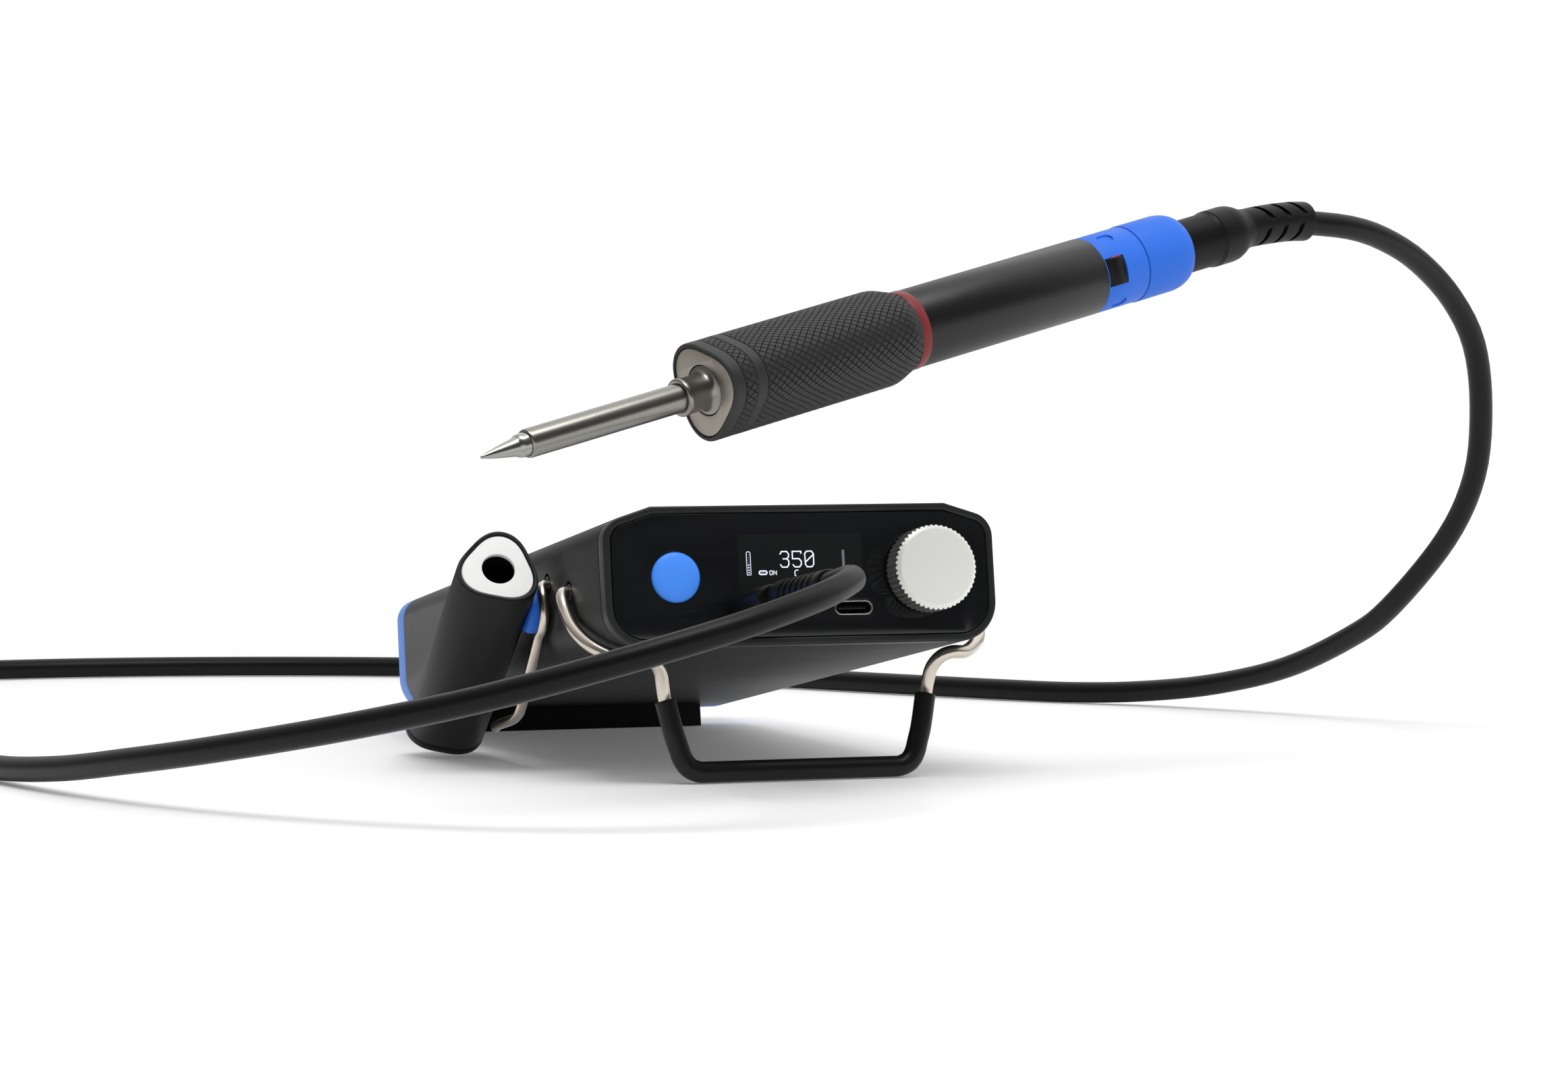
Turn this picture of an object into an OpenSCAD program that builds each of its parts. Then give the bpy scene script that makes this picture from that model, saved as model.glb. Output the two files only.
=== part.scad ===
// Portable battery soldering station: control box on a wire stand, soldering iron on its cord,
// and a tip cap carried on a folding side bracket. Millimetres, +Z up, front panel faces -Y.
// The origin is on the bench, under the middle of the rear foot.

/* [Station body] */
// Width of the body
body_w = 91; // [84:1:110]
// Height of the body
body_h = 31; // [29:1:40]
// Length of the body from bezel to rear frame
body_len = 178; // [172:1:210]
// Width of each shallow chamfer beside the flat on the top
chamfer_w = 11.2; // [8:0.1:16]
// Slope of the shallow top chamfers
chamfer_a = 17.6; // [10:0.2:25]
// Radius of the upper corners
top_r = 5.5; // [3:0.5:8]
// Radius of the lower corners
bottom_r = 9; // [5:0.5:10]
// Wall of the extruded housing
wall = 2.2; // [1.8:0.1:3]
// Tilt of the body when it stands on the wire stand
tilt = 8.5; // [6:0.5:11]

/* [Front] */
// Depth of the front bezel
bezel_len = 4; // [3.5:0.5:7]
// Width of the bezel's rim round the panel
bezel_rim = 1.7; // [1:0.1:2.5]
// Thickness of the glossy panel
panel_t = 1.6; // [1.2:0.1:2]
// How far the panel lies behind the rim
panel_inset = 0.25; // [0.1:0.05:0.5]
// Distance from the rim to the control board
board_depth = 10; // [10:0.5:12]
// Thickness of the circuit boards
board_t = 1.6; // [1:0.2:2]
// Radius of the power button
button_r = 5.55; // [4:0.05:7]
// Radius of the knob
knob_r = 9.5; // [8:0.1:10.5]
// Height of the knob
knob_h = 7.1; // [6:0.1:10]
// Teeth round the knob
knob_teeth = 50; // [24:1:60]
// Radius of the encoder shaft
shaft_r = 3; // [2.5:0.1:3.2]
// Travel of the button and of the knob when pressed
press_travel = 0.5; // [0.3:0.1:0.6]
// Width of the display module
display_w = 33; // [26:0.5:34]
// Height of the display module
display_h = 13; // [11:0.5:13]
// Width of a USB-C socket's shell
usb_w = 8.94; // [8.94:0.01:9]
// Height of a USB-C socket's shell
usb_h = 3.26; // [3.26:0.01:3.3]

/* [Rear] */
// Length of the rear frame
frame_len = 6.5; // [5:0.5:10]
// Distance of the rear foot's middle from the rear edge
foot_in = 6; // [6:1:30]
// Length of the rear foot along the body
foot_len = 10; // [6:1:10]
// Width of the rear foot
foot_w = 60; // [40:1:76]
// Height of the body above the bench at the foot
foot_h = 4.75; // [3:0.25:7]

/* [Battery] */
// Radius of one cell
cell_r = 10.6; // [9:0.1:10.6]
// Length of one cell
cell_len = 70.2; // [60:0.2:75]
// Number of cells side by side
cell_count = 3; // [1:1:3]

/* [Wire stand] */
// Radius of the stand's wire
wire_r = 1.5; // [1.2:0.05:1.6]
// Outer radius of the rubber sleeve
sleeve_r = 2.35; // [2:0.05:2.6]
// Distance of the stand's pivot from the front edge
stand_y = 27.5; // [26:0.1:32]
// Height of the stand's pivot above the underside
stand_z = 15.1; // [14.5:0.1:16]

/* [Side bracket and cap] */
// Radius of the bracket's wire
bracket_r = 1.2; // [1:0.05:1.25]
// Mean radius of the cap's rounded three-sided section
cap_r = 9; // [8:0.1:9.5]
// Length of the cap
cap_len = 72.6; // [66:0.1:76]
// Radius of the cap's bore
cap_bore_r = 3.75; // [3.3:0.05:4.2]
// Wall of the cap's shell
cap_wall = 1; // [0.8:0.1:1.4]

/* [Iron] */
// Radius of the tip's shank
shank_r = 3.05; // [2.8:0.05:3.2]
// Radius of the metal sleeve that carries the shank
collar_r = 3.9; // [3.7:0.05:4.2]
// Mean radius of the grip's rounded three-sided section
grip_r = 10.25; // [9.8:0.05:11]
// Radius of the handle tube
tube_r = 8.6; // [8.2:0.05:8.8]
// Bore of the handle tube
tube_bore_r = 6.4; // [6.2:0.05:6.6]
// Rise of the iron's axis above the horizontal
iron_pitch = 13.2; // [5:0.1:20]
// Turn of the iron's axis from the front panel's line
iron_yaw = 18.5; // [10:0.1:25]

/* [Cord] */
// Radius of the cord
cord_r = 2.8; // [2:0.1:2.8]

/* [Fits] */
// Gap between fixed pieces that slip together
gap = 0.15; // [0.1:0.01:0.2]
// Gap between a shaft and its bearing
run = 0.05; // [0.02:0.01:0.08]

/* [Hidden] */
$fn = 64;

// Body heights that follow from the foot and the tilt
foot_mid = body_len - foot_in;
top_flat = body_w / 2 - chamfer_w;
front_lift = foot_h + foot_mid * sin(tilt);
foot_shift = (foot_mid - front_lift * sin(tilt)) / cos(tilt);
spigot = 4;
spigot_t = 1.8;

// Front layout, across and up from the middle of the front's lower edge
button_x = -body_w / 2 + 16.3;
button_z = body_h / 2 - 0.2;
knob_x = body_w / 2 - 16.7;
knob_z = body_h / 2 + 0.3;
port_x = 11.7;
panel_back = panel_inset + panel_t;
shelf_in = 6.5;
display_z = body_h - shelf_in - display_h / 2 - 0.2;
port_z = display_z - display_h / 2 - 1.72 - usb_h / 2;
encoder_w = 11.4;
screw_x = body_w / 2 - 8;
screw_top = body_h - 9;
screw_low = 9;
screw_r = 1.3;
knob_gap = 0.9;
bushing_r = 4.4;
rotor_r = 3.5;
switch_h = 3.5;
switch_w = 6;
button_face = 1;
flange_t = 1;

// Boards and battery
rail_x = body_w / 2 - 6.5;
rail_z = 5;
power_y = board_depth + board_t + 2.4;
rail_front = power_y - 0.4;
power_len = 50;
cell_y = 72;
cell_z = wall + cell_r + 2.5;
cell_pitch = 2 * cell_r + 0.8;
holder_t = 8;
link_t = 0.3;

// Iron stations, measured along its axis from the tip
cone_end = 11.3;
collar_front = 50.8;
plate_front = 57.7;
grip_front = 57.5;
plate_back = 59.3;
grip_taper = 107.2;
ring_front = 110.8;
ring_t = 2.5;
tube_front = ring_front + ring_t + 0.1;
shank_end = 70;
tube_end = 165.2;
collar_end = 177.4;
lock_front = collar_end + gap;
lock_end = 192.7;
lock_round = 4.8;
plug_ring = 203.4;
plug_neck = 214.7;
relief_end = 234;
grip_bore_r = tube_r - 1.15;
plug_r = 6.1;
iron_roll = 258;
iron_tip = [-92, -64 - foot_shift, 73.1];

// ---------- helpers ----------
function arc(c, r, a0, a1, n) =
    [for (i = [0 : n]) [c[0] + r * cos(a0 + (a1 - a0) * i / n), c[1] + r * sin(a0 + (a1 - a0) * i / n)]];

// A quarter of an ellipse from its widest point to its top
function arc_2(x, y, rx, ry) = [for (i = [0 : 8]) [x + rx * cos(90 * i / 8), y + ry * sin(90 * i / 8)]];

// Half of the body's outline, drawn in by d all round, from the lower middle up to the top
function half_outline(d) =
    let (w = body_w / 2 - d, top = body_h - d, flat = top_flat - d * tan(chamfer_a / 2),
         rt = max(0.6, top_r - d), rb = max(0.6, bottom_r - d),
         cx = w - rt, cz = top + ((flat - cx) * sin(chamfer_a) - rt) / cos(chamfer_a))
    concat(arc([w - rb, d + rb], rb, -90, 0, 8), arc([cx, cz], rt, 0, 90 - chamfer_a, 6), [[flat, top]]);

function body_outline(d) =
    let (h = half_outline(d), n = len(h))
    concat(h, [for (i = [n - 1 : -1 : 0]) [-h[i][0], h[i][1]]]);

// Rounded three-sided section: a circle of radius r pushed out by a at three corners
function tri(r, a, phase = 0, n = 48) =
    [for (i = [0 : n - 1]) let (t = 360 * i / n, q = r + a * cos(3 * (t - phase))) [q * cos(t), q * sin(t)]];

// A smooth curve through points, with steps in each stretch about as long as step
function spline(p, step) =
    let (n = len(p))
    concat([for (i = [0 : n - 2])
        let (a = p[max(0, i - 1)], b = p[i], c = p[i + 1], d = p[min(n - 1, i + 2)],
             k = max(1, round(norm(c - b) / step)))
        for (j = [0 : k - 1]) let (t = j / k)
            0.5 * (2 * b + (c - a) * t + (2 * a - 5 * b + 4 * c - d) * t * t
                + (3 * b - a - 3 * c + d) * t * t * t)],
        [p[n - 1]]);

function unit(v) = v / norm(v);
function tangent(p, i) = unit(p[min(len(p) - 1, i + 1)] - p[max(0, i - 1)]);
// Side directions carried along a path without twist
function sides(p, i = 0, u = [0, 0, 0], out = []) =
    i >= len(p) ? out :
    let (t = tangent(p, i),
         s = i == 0 ? unit(cross(t, abs(t[2]) < 0.9 ? [0, 0, 1] : [1, 0, 0])) : unit(u - (u * t) * t))
    sides(p, i + 1, s, concat(out, [s]));

// Rings of points skinned into one closed solid
module skin(rings) {
    n = len(rings[0]);
    m = len(rings);
    polyhedron(
        points = [for (r = rings) each r],
        faces = concat(
            [[for (i = [0 : n - 1]) i]],
            [for (k = [0 : m - 2]) for (i = [0 : n - 1])
                let (j = (i + 1) % n) [k * n + i, (k + 1) * n + i, (k + 1) * n + j, k * n + j]],
            [[for (i = [n - 1 : -1 : 0]) (m - 1) * n + i]]),
        convexity = 6);
}

// A round tube's outside swept along a path; radii is one number or one for each point
module sweep(p, radius, n = 12) {
    s = sides(p);
    skin([for (i = [0 : len(p) - 1])
        let (t = tangent(p, i), u = s[i], v = cross(t, u), r = is_list(radius) ? radius[i] : radius)
        [for (k = [0 : n - 1]) p[i] + r * (cos(360 * k / n) * u + sin(360 * k / n) * v)]]);
}

// A loft of three-sided sections along Z, each row being [z, mean radius, corner bulge]
module tri_loft(rows, phase = 0, n = 48)
    skin([for (q = rows) [for (p = tri(q[1], q[2], phase, n)) [p[0], p[1], q[0]]]]);

module ring(r_out, r_in, h)
    difference() {
        cylinder(r = r_out, h = h);
        translate([0, 0, -1]) cylinder(r = r_in, h = h + 2);
    }

module slot_2d(w, h)
    union() {
        square([w - h, h], center = true);
        for (s = [-1, 1]) translate([s * (w - h) / 2, 0]) circle(r = h / 2);
    }

// Solids drawn in X and Y and raised along Z, stood up to face the front from depth y0 to y1
module upright(y0, y1) translate([0, y1, 0]) rotate([90, 0, 0]) linear_extrude(y1 - y0) children();
module along_y(x, z, y) translate([x, y, z]) rotate([-90, 0, 0]) children();
module along_x(x, y, z) translate([x, y, z]) rotate([0, 90, 0]) children();

module on_station() translate([0, -foot_shift, front_lift]) rotate([-tilt, 0, 0]) children();
module on_iron(s = 0)
    translate(iron_tip) rotate([0, -iron_pitch, iron_yaw]) rotate([0, 90, 0]) rotate([0, 0, iron_roll])
        translate([0, 0, s]) children();

// ---------- station shells ----------
module body_shell(y0, y1, d_out, d_in)
    difference() {
        upright(y0, y1) polygon(body_outline(d_out));
        upright(y0 - 1, y1 + 1) polygon(body_outline(d_in));
    }

stand_bush_r = 2.6;
bracket_y = 44;
bracket_z = 18.6;

module housing() color([0.13, 0.13, 0.135]) on_station() difference() {
    union() {
        body_shell(bezel_len, body_len - frame_len, 0, wall);
        for (s = [-1, 1]) for (z = [rail_z - 1.4, rail_z + board_t + 0.2])
            translate([s * (rail_x + 2.6) - 2.6, rail_front, z])
                cube([5.2, body_len - frame_len - spigot - 1 - rail_front, 1.2]);
    }
    for (s = [-1, 1]) along_x(s * body_w / 2 - 5, stand_y, stand_z) cylinder(r = stand_bush_r, h = 10);
    along_x(-body_w / 2 - 5, bracket_y, bracket_z) cylinder(r = stand_bush_r, h = 10);
}

// Rim, shelf behind the panel, spigot into the housing and bosses for the control board
module front_bezel() color([0.13, 0.13, 0.13]) on_station() difference() {
    union() {
        body_shell(0, bezel_len, 0, shelf_in);
        body_shell(bezel_len - 0.5, bezel_len + spigot, wall + gap, wall + gap + spigot_t);
        for (s = [-1, 1]) for (z = [screw_low, screw_top])
            along_y(s * screw_x, z, panel_back + 0.5) cylinder(r = 2.8, h = board_depth - panel_back - 0.5);
    }
    upright(-1, panel_back) polygon(body_outline(bezel_rim));
    for (s = [-1, 1]) along_y(s * port_x, port_z, -1) linear_extrude(9) slot_2d(usb_w + 2 * gap, usb_h + 2 * gap);
    for (s = [-1, 1]) for (z = [screw_low, screw_top])
        along_y(s * screw_x, z, panel_back + 1.5) cylinder(r = screw_r, h = board_depth);
}

module front_panel() color([0.11, 0.115, 0.12]) on_station() difference() {
    upright(panel_inset, panel_back) polygon(body_outline(bezel_rim + gap));
    along_y(button_x, button_z, -1) cylinder(r = button_r + gap, h = 5);
    along_y(knob_x, knob_z, -1) cylinder(r = bushing_r + gap, h = 5);
    for (s = [-1, 1]) along_y(s * port_x, port_z, -1) linear_extrude(5) slot_2d(usb_w + 2 * gap, usb_h + 2 * gap);
}

module display_module() color([0.16, 0.17, 0.17]) on_station()
    translate([-display_w / 2, panel_back, display_z - display_h / 2]) cube([display_w, 2.2, display_h]);

module control_board() color([0.05, 0.25, 0.12]) on_station() difference() {
    upright(board_depth, board_depth + board_t) polygon(body_outline(shelf_in - 1.5));
    for (s = [-1, 1]) for (z = [screw_low, screw_top])
        along_y(s * screw_x, z, board_depth - 1) cylinder(r = screw_r + 0.2, h = 4);
}

module pan_screw(len) {
    cylinder(r = screw_r + 1, h = 1.2);
    translate([0, 0, -len]) cylinder(r = screw_r - 0.05, h = len + 0.5);
}

module board_screws() color("silver") on_station()
    for (s = [-1, 1]) for (z = [screw_low, screw_top])
        along_y(s * screw_x, z, board_depth + board_t) pan_screw(6);

// ---------- controls ----------
module power_button() color([0.28, 0.56, 0.98]) on_station() along_y(button_x, button_z, -button_face)
    rotate_extrude() polygon([[0, 0], [2.2, 0.08], [3.8, 0.3], [4.8, 0.6], [button_r, 1.15],
        [button_r, button_face + panel_back + gap], [button_r + 1, button_face + panel_back + gap],
        [button_r + 1, button_face + panel_back + gap + flange_t], [2, button_face + panel_back + gap + flange_t],
        [2, button_face + board_depth - switch_h - 1.1], [0, button_face + board_depth - switch_h - 1.1]]);

module button_switch() color([0.2, 0.2, 0.2]) on_station() {
    translate([button_x - switch_w / 2, board_depth - switch_h, button_z - switch_w / 2])
        cube([switch_w, switch_h, switch_w]);
    along_y(button_x, button_z, board_depth - switch_h - 0.5) cylinder(r = 1.6, h = 1);
}

module encoder_body() color([0.5, 0.52, 0.5]) on_station() difference() {
    union() {
        translate([knob_x - encoder_w / 2, panel_back + 1.6, knob_z - encoder_w / 2])
            cube([encoder_w, board_depth - panel_back - 1.6, encoder_w]);
        along_y(knob_x, knob_z, -0.3) cylinder(r = bushing_r, h = 5);
    }
    along_y(knob_x, knob_z, -1) cylinder(r = rotor_r + run, h = board_depth + 0.7);
}

module encoder_rotor() color([0.75, 0.75, 0.72]) on_station()
    along_y(knob_x, knob_z, -0.2) ring(rotor_r, shaft_r + run, board_depth - 0.2);

module encoder_shaft() color([0.8, 0.8, 0.78]) on_station()
    along_y(knob_x, knob_z, -knob_gap - knob_h + 1.2) cylinder(r = shaft_r, h = knob_gap + knob_h + board_depth - 2.4);

// Solid knob with rounded teeth, a bevelled rim and a blind bore for the shaft
module knob() color([0.86, 0.865, 0.85]) on_station() along_y(knob_x, knob_z, -knob_gap - knob_h) difference() {
    union() {
        translate([0, 0, 0.9]) linear_extrude(knob_h - 0.9) polygon(
            [for (i = [0 : knob_teeth * 4 - 1]) let (t = 90 * i / knob_teeth,
                q = knob_r - 0.3 + 0.3 * cos(360 * i / 4)) [q * cos(t), q * sin(t)]]);
        rotate_extrude() polygon([[0, 0], [knob_r - 1, 0], [knob_r - 0.3, 0.9], [knob_r - 0.3, 1.4], [0, 1.4]]);
    }
    translate([0, 0, 1.2]) cylinder(r = shaft_r + 0.01, h = knob_h);
    translate([0, 0, knob_h - 1.8]) cylinder(r = bushing_r + 0.5, h = 3);
}

module usb_socket(depth) {
    difference() {
        linear_extrude(depth) slot_2d(usb_w, usb_h);
        translate([0, 0, -1]) linear_extrude(depth) slot_2d(usb_w - 0.6, usb_h - 0.6);
    }
    translate([-3.35, -0.35, 2.6]) cube([6.7, 0.7, depth - 3]);
}

module usb_socket_left() color("silver") on_station() along_y(-port_x, port_z, panel_inset) usb_socket(board_depth - panel_inset);
module usb_socket_right() color("silver") on_station() along_y(port_x, port_z, panel_inset) usb_socket(board_depth - panel_inset);

// ---------- inside the station ----------
module power_board() color([0.05, 0.25, 0.12]) on_station()
    translate([-rail_x - 1.2, power_y, rail_z]) cube([2 * rail_x + 2.4, power_len, board_t]);

module inductors() color([0.25, 0.25, 0.26]) on_station()
    for (x = [-22, 4]) translate([x, power_y + 8, rail_z + board_t]) cube([12, 12, 7]);

module capacitors() color([0.55, 0.55, 0.58]) on_station()
    for (i = [0 : 3]) translate([-24 + 15 * i, power_y + 38, rail_z + board_t]) cylinder(r = 4, h = 9);

module battery_cell(i) color([0.2, 0.45, 0.3]) on_station()
    along_y((i - (cell_count - 1) / 2) * cell_pitch, cell_z, cell_y) cylinder(r = cell_r, h = cell_len);
module battery_cell_1() battery_cell(0);
module battery_cell_2() battery_cell(1);
module battery_cell_3() battery_cell(2);

module cell_holder(y) color([0.15, 0.15, 0.16]) on_station() difference() {
    intersection() {
        upright(y, y + holder_t) polygon(body_outline(wall + gap));
        translate([-rail_x + 0.4, y - 1, 0]) cube([2 * rail_x - 0.8, holder_t + 2, body_h]);
    }
    for (i = [0 : cell_count - 1])
        along_y((i - (cell_count - 1) / 2) * cell_pitch, cell_z, y - 1) cylinder(r = cell_r + gap, h = holder_t + 2);
}
module cell_holder_front() cell_holder(cell_y + 2);
module cell_holder_rear() cell_holder(cell_y + cell_len - holder_t - 2);

module cell_links() color("silver") on_station()
    for (y = [cell_y - link_t, cell_y + cell_len])
        translate([-cell_pitch * (cell_count - 1) / 2 - 4, y, cell_z - 3])
            cube([cell_pitch * (cell_count - 1) + 8, link_t, 6]);

// ---------- rear ----------
rear_y = body_len - frame_len;
rear_shelf = 3;

module rear_frame() color([0.42, 0.58, 0.83]) on_station() difference() {
    union() {
        body_shell(rear_y, body_len, 0, shelf_in);
        body_shell(rear_y - spigot, rear_y + 0.5, wall + gap, wall + gap + spigot_t);
    }
    upright(body_len - rear_shelf, body_len + 1) polygon(body_outline(bezel_rim));
    for (s = [-1, 1]) for (z = [4.2, body_h - 5.2])
        along_y(s * (top_flat - 6), z, body_len - rear_shelf - 3) cylinder(r = screw_r, h = 5);
}

module rear_panel() color([0.13, 0.13, 0.13]) on_station() difference() {
    upright(body_len - rear_shelf, body_len - 1) polygon(body_outline(bezel_rim + gap));
    for (s = [-1, 1]) for (z = [4.2, body_h - 5.2])
        along_y(s * (top_flat - 6), z, body_len - rear_shelf - 1) cylinder(r = screw_r + 0.2, h = 5);
}

module rear_screws() color("silver") on_station()
    for (s = [-1, 1]) for (z = [4.2, body_h - 5.2])
        along_y(s * (top_flat - 6), z, body_len - 1)
            union() {
                difference() {
                    cylinder(r = screw_r + 1, h = 0.8);
                    translate([0, 0, 0.3]) cylinder(r = 0.9, h = 1, $fn = 6);
                }
                translate([0, 0, -4.4]) cylinder(r = screw_r - 0.05, h = 4.6);
            }

// Wedge-shaped rubber foot, level with the bench when the body is tilted
function bench_z(y) = (y * sin(tilt) - front_lift) / cos(tilt);
module rear_foot() color([0.08, 0.08, 0.08]) on_station()
    translate([-foot_w / 2, 0, 0]) rotate([90, 0, 90]) linear_extrude(foot_w)
        polygon([[foot_mid - foot_len / 2, 0], [foot_mid - foot_len / 2, bench_z(foot_mid - foot_len / 2)],
            [foot_mid + foot_len / 2, bench_z(foot_mid + foot_len / 2)], [foot_mid + foot_len / 2, 0]]);

// Flanged bushes in the side walls, bored for the wire ends
bush_len = 7.2;
module bushing(bore)
    difference() {
        union() {
            cylinder(r = stand_bush_r - 0.02, h = bush_len);
            translate([0, 0, wall]) cylinder(r = stand_bush_r + 1.4, h = 1.5);
        }
        translate([0, 0, -1]) cylinder(r = bore, h = bush_len + 2);
    }

module stand_bushings() color([0.1, 0.1, 0.1]) on_station()
    for (s = [-1, 1]) translate([s * body_w / 2, stand_y, stand_z]) rotate([0, -90 * s, 0]) bushing(wire_r + run);

module bracket_bushing() color([0.1, 0.1, 0.1]) on_station()
    translate([-body_w / 2, bracket_y, bracket_z]) rotate([0, 90, 0]) bushing(bracket_r + run);

// ---------- wire stand ----------
wire_x = body_w / 2 + wire_r + 0.5;
bar_y = 8;
bar_z = (sleeve_r - front_lift + bar_y * sin(tilt)) / cos(tilt);
under = -wire_r - 0.3;
// One side of the bent wire, from the pivot down round the lower corner to the middle of the bar
stand_side = [
    [wire_x - 1.5, stand_y, stand_z], [wire_x - 0.3, stand_y - 0.4, stand_z - 0.3],
    [wire_x, stand_y - 1.6, stand_z - 1.9], [wire_x, stand_y - 4.1, stand_z - 5],
    [wire_x - 0.1, 18.3, 6], [wire_x - 1.5, 13.2, 2.4], [wire_x - 4.1, 9.7, 0], [wire_x - 7.6, 6.6, under],
    [wire_x - 11.4, 4.8, under - 0.2], [wire_x - 14, 5, under - 1.1], [wire_x - 15.7, 6.4, under - 3.2],
    [wire_x - 16.4, 7.6, under - 6]];
stand_leg = [[wire_x - 17, 8.2, -11], [wire_x - 18.5, bar_y, -18], [wire_x - 19.5, bar_y, bar_z + 5.6],
    [wire_x - 20.3, bar_y, bar_z + 3.1], [wire_x - 21.7, bar_y, bar_z + 1.1], [wire_x - 23.9, bar_y, bar_z + 0.1],
    [wire_x - 26.4, bar_y, bar_z], [10, bar_y, bar_z]];
function mirrored(p) = [for (i = [len(p) - 1 : -1 : 0]) [-p[i][0], p[i][1], p[i][2]]];
module pivot_pin(s, r, y, z, x_out) along_x(s > 0 ? body_w / 2 - bush_len : -x_out, y, z)
    cylinder(r = r, h = x_out - body_w / 2 + bush_len);

module wire_stand() color([0.72, 0.68, 0.62]) on_station() {
    side = concat(stand_side, stand_leg);
    sweep(spline(concat(side, mirrored(side)), 1.9), wire_r);
    for (s = [-1, 1]) pivot_pin(s, wire_r, stand_y, stand_z, wire_x - 0.9);
}

module stand_sleeve() color([0.13, 0.14, 0.135]) on_station() {
    p = spline(concat(stand_leg, mirrored(stand_leg)), 1.9);
    difference() {
        sweep(p, sleeve_r);
        sweep(spline(concat([stand_side[11]], stand_leg, mirrored(stand_leg), [mirrored(stand_side)[0]]), 1.9), wire_r + 0.02);
    }
}

// ---------- side bracket ----------
bracket_x = body_w / 2 + bracket_r + 0.5;
cap_foot = [0.05 - body_w / 2 - cap_r, 104.4, cap_r - 17.1];
cap_rise = 24.5;
cap_turn = -3.3;
cap_roll = 76;
module on_cap() on_station() translate(cap_foot) rotate([90 - cap_rise, 0, cap_turn]) children();

module bracket_wire() color([0.72, 0.7, 0.66]) on_station() {
    sweep(spline([[-bracket_x + 1.3, bracket_y, bracket_z], [-bracket_x + 0.3, bracket_y - 0.3, bracket_z - 0.4],
        [-bracket_x, bracket_y - 1.7, bracket_z - 2.2], [-bracket_x, bracket_y - 2.5, bracket_z - 4.9],
        [-bracket_x, bracket_y - 2.2, bracket_z - 7.7], [-bracket_x, bracket_y - 0.5, bracket_z - 9.9],
        [-bracket_x, bracket_y + 2.6, bracket_z - 11.4], [-bracket_x, 50.6, 3.8], [-bracket_x, 55.7, -0.6],
        [-bracket_x, 63.8, -7.6], [-bracket_x, 67.5, -9.1], [-bracket_x, 72, -9.7], [-bracket_x, 82.6, -9.9],
        [-bracket_x, 86, -10.3]], 2.2), bracket_r);
    pivot_pin(-1, bracket_r, bracket_y, bracket_z, bracket_x - 0.8);
}

saddle_y = 47.5;
saddle_z = 13.3;
saddle_r = 5.3;
module saddle() color([0.12, 0.36, 0.75]) difference() {
    on_station() along_x(-body_w / 2 - 4.8, saddle_y, saddle_z) rotate_extrude()
        polygon(concat([[0, 0]], arc([saddle_r - 1.4, 1.4], 1.4, -90, 0, 5), [[saddle_r, 4.1], [0, 4.1]]));
    on_cap() linear_extrude(cap_len + 5) polygon(tri(cap_r + gap, cap_r * 0.1, cap_roll));
    on_station() along_x(-body_w / 2 - 2.6, saddle_y + 0.6, saddle_z + 0.2) cylinder(r = 3.2, h = 4);
}

module saddle_magnet() color([0.6, 0.6, 0.62]) on_station()
    along_x(-body_w / 2 - 2.6, saddle_y + 0.6, saddle_z + 0.2) cylinder(r = 3.15, h = 1.8);

// ---------- cap ----------
cap_end_t = 3.5;
cap_plug_t = 8;
cap_face_t = 0.9;
module cap_end() color([0.07, 0.07, 0.07]) on_cap() {
    tri_loft([[0, cap_r - 1.2, cap_r * 0.08], [0.4, cap_r - 0.5, cap_r * 0.09], [1.3, cap_r, cap_r * 0.1],
        [cap_end_t, cap_r, cap_r * 0.1]], cap_roll);
    translate([0, 0, cap_end_t - 0.5]) linear_extrude(cap_plug_t - cap_end_t + 0.5)
        polygon(tri(cap_r - cap_wall - gap, cap_r * 0.09, cap_roll));
}

module cap_shell() color([0.09, 0.095, 0.09]) on_cap() difference() {
    translate([0, 0, cap_end_t]) linear_extrude(cap_len - cap_end_t) polygon(tri(cap_r, cap_r * 0.1, cap_roll));
    translate([0, 0, cap_end_t - 1]) linear_extrude(cap_len) polygon(tri(cap_r - cap_wall, cap_r * 0.09, cap_roll));
}

module cap_core() color([0.12, 0.12, 0.12]) on_cap() difference() {
    translate([0, 0, cap_plug_t]) linear_extrude(cap_len - cap_plug_t - cap_face_t - 0.3)
        polygon(tri(cap_r - cap_wall - gap, cap_r * 0.09, cap_roll));
    translate([0, 0, cap_plug_t + 3.5]) cylinder(r = cap_bore_r, h = cap_len);
}

module cap_face() color([0.93, 0.93, 0.92]) on_cap() difference() {
    translate([0, 0, cap_len - cap_face_t - 0.3]) linear_extrude(cap_face_t)
        polygon(tri(cap_r - cap_wall - gap, cap_r * 0.09, cap_roll));
    translate([0, 0, cap_plug_t]) cylinder(r = cap_bore_r, h = cap_len);
    translate([0, 0, cap_len - 0.55]) cylinder(r1 = cap_bore_r, r2 = cap_bore_r + 0.25, h = 0.26);
}

// ---------- iron ----------
module tip_cone() color([0.75, 0.75, 0.73]) on_iron()
    rotate_extrude() polygon([[0, 0], [0.22, 0.1], [0.4, 0.7], [1, 3], [1.5, 6], [2, 9], [2.45, 9.9], [2.5, cone_end],
        [shank_r - 0.6, cone_end], [shank_r - 0.6, cone_end + 7], [0, cone_end + 7]]);

module tip_shank() color([0.74, 0.73, 0.7]) on_iron() difference() {
    rotate_extrude() polygon([[0, cone_end], [shank_r - 0.35, cone_end], [shank_r, cone_end + 0.5], [shank_r, shank_end], [0, shank_end]]);
    translate([0, 0, cone_end - 1]) cylinder(r = shank_r - 0.6 + 0.02, h = 8.1);
}

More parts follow.
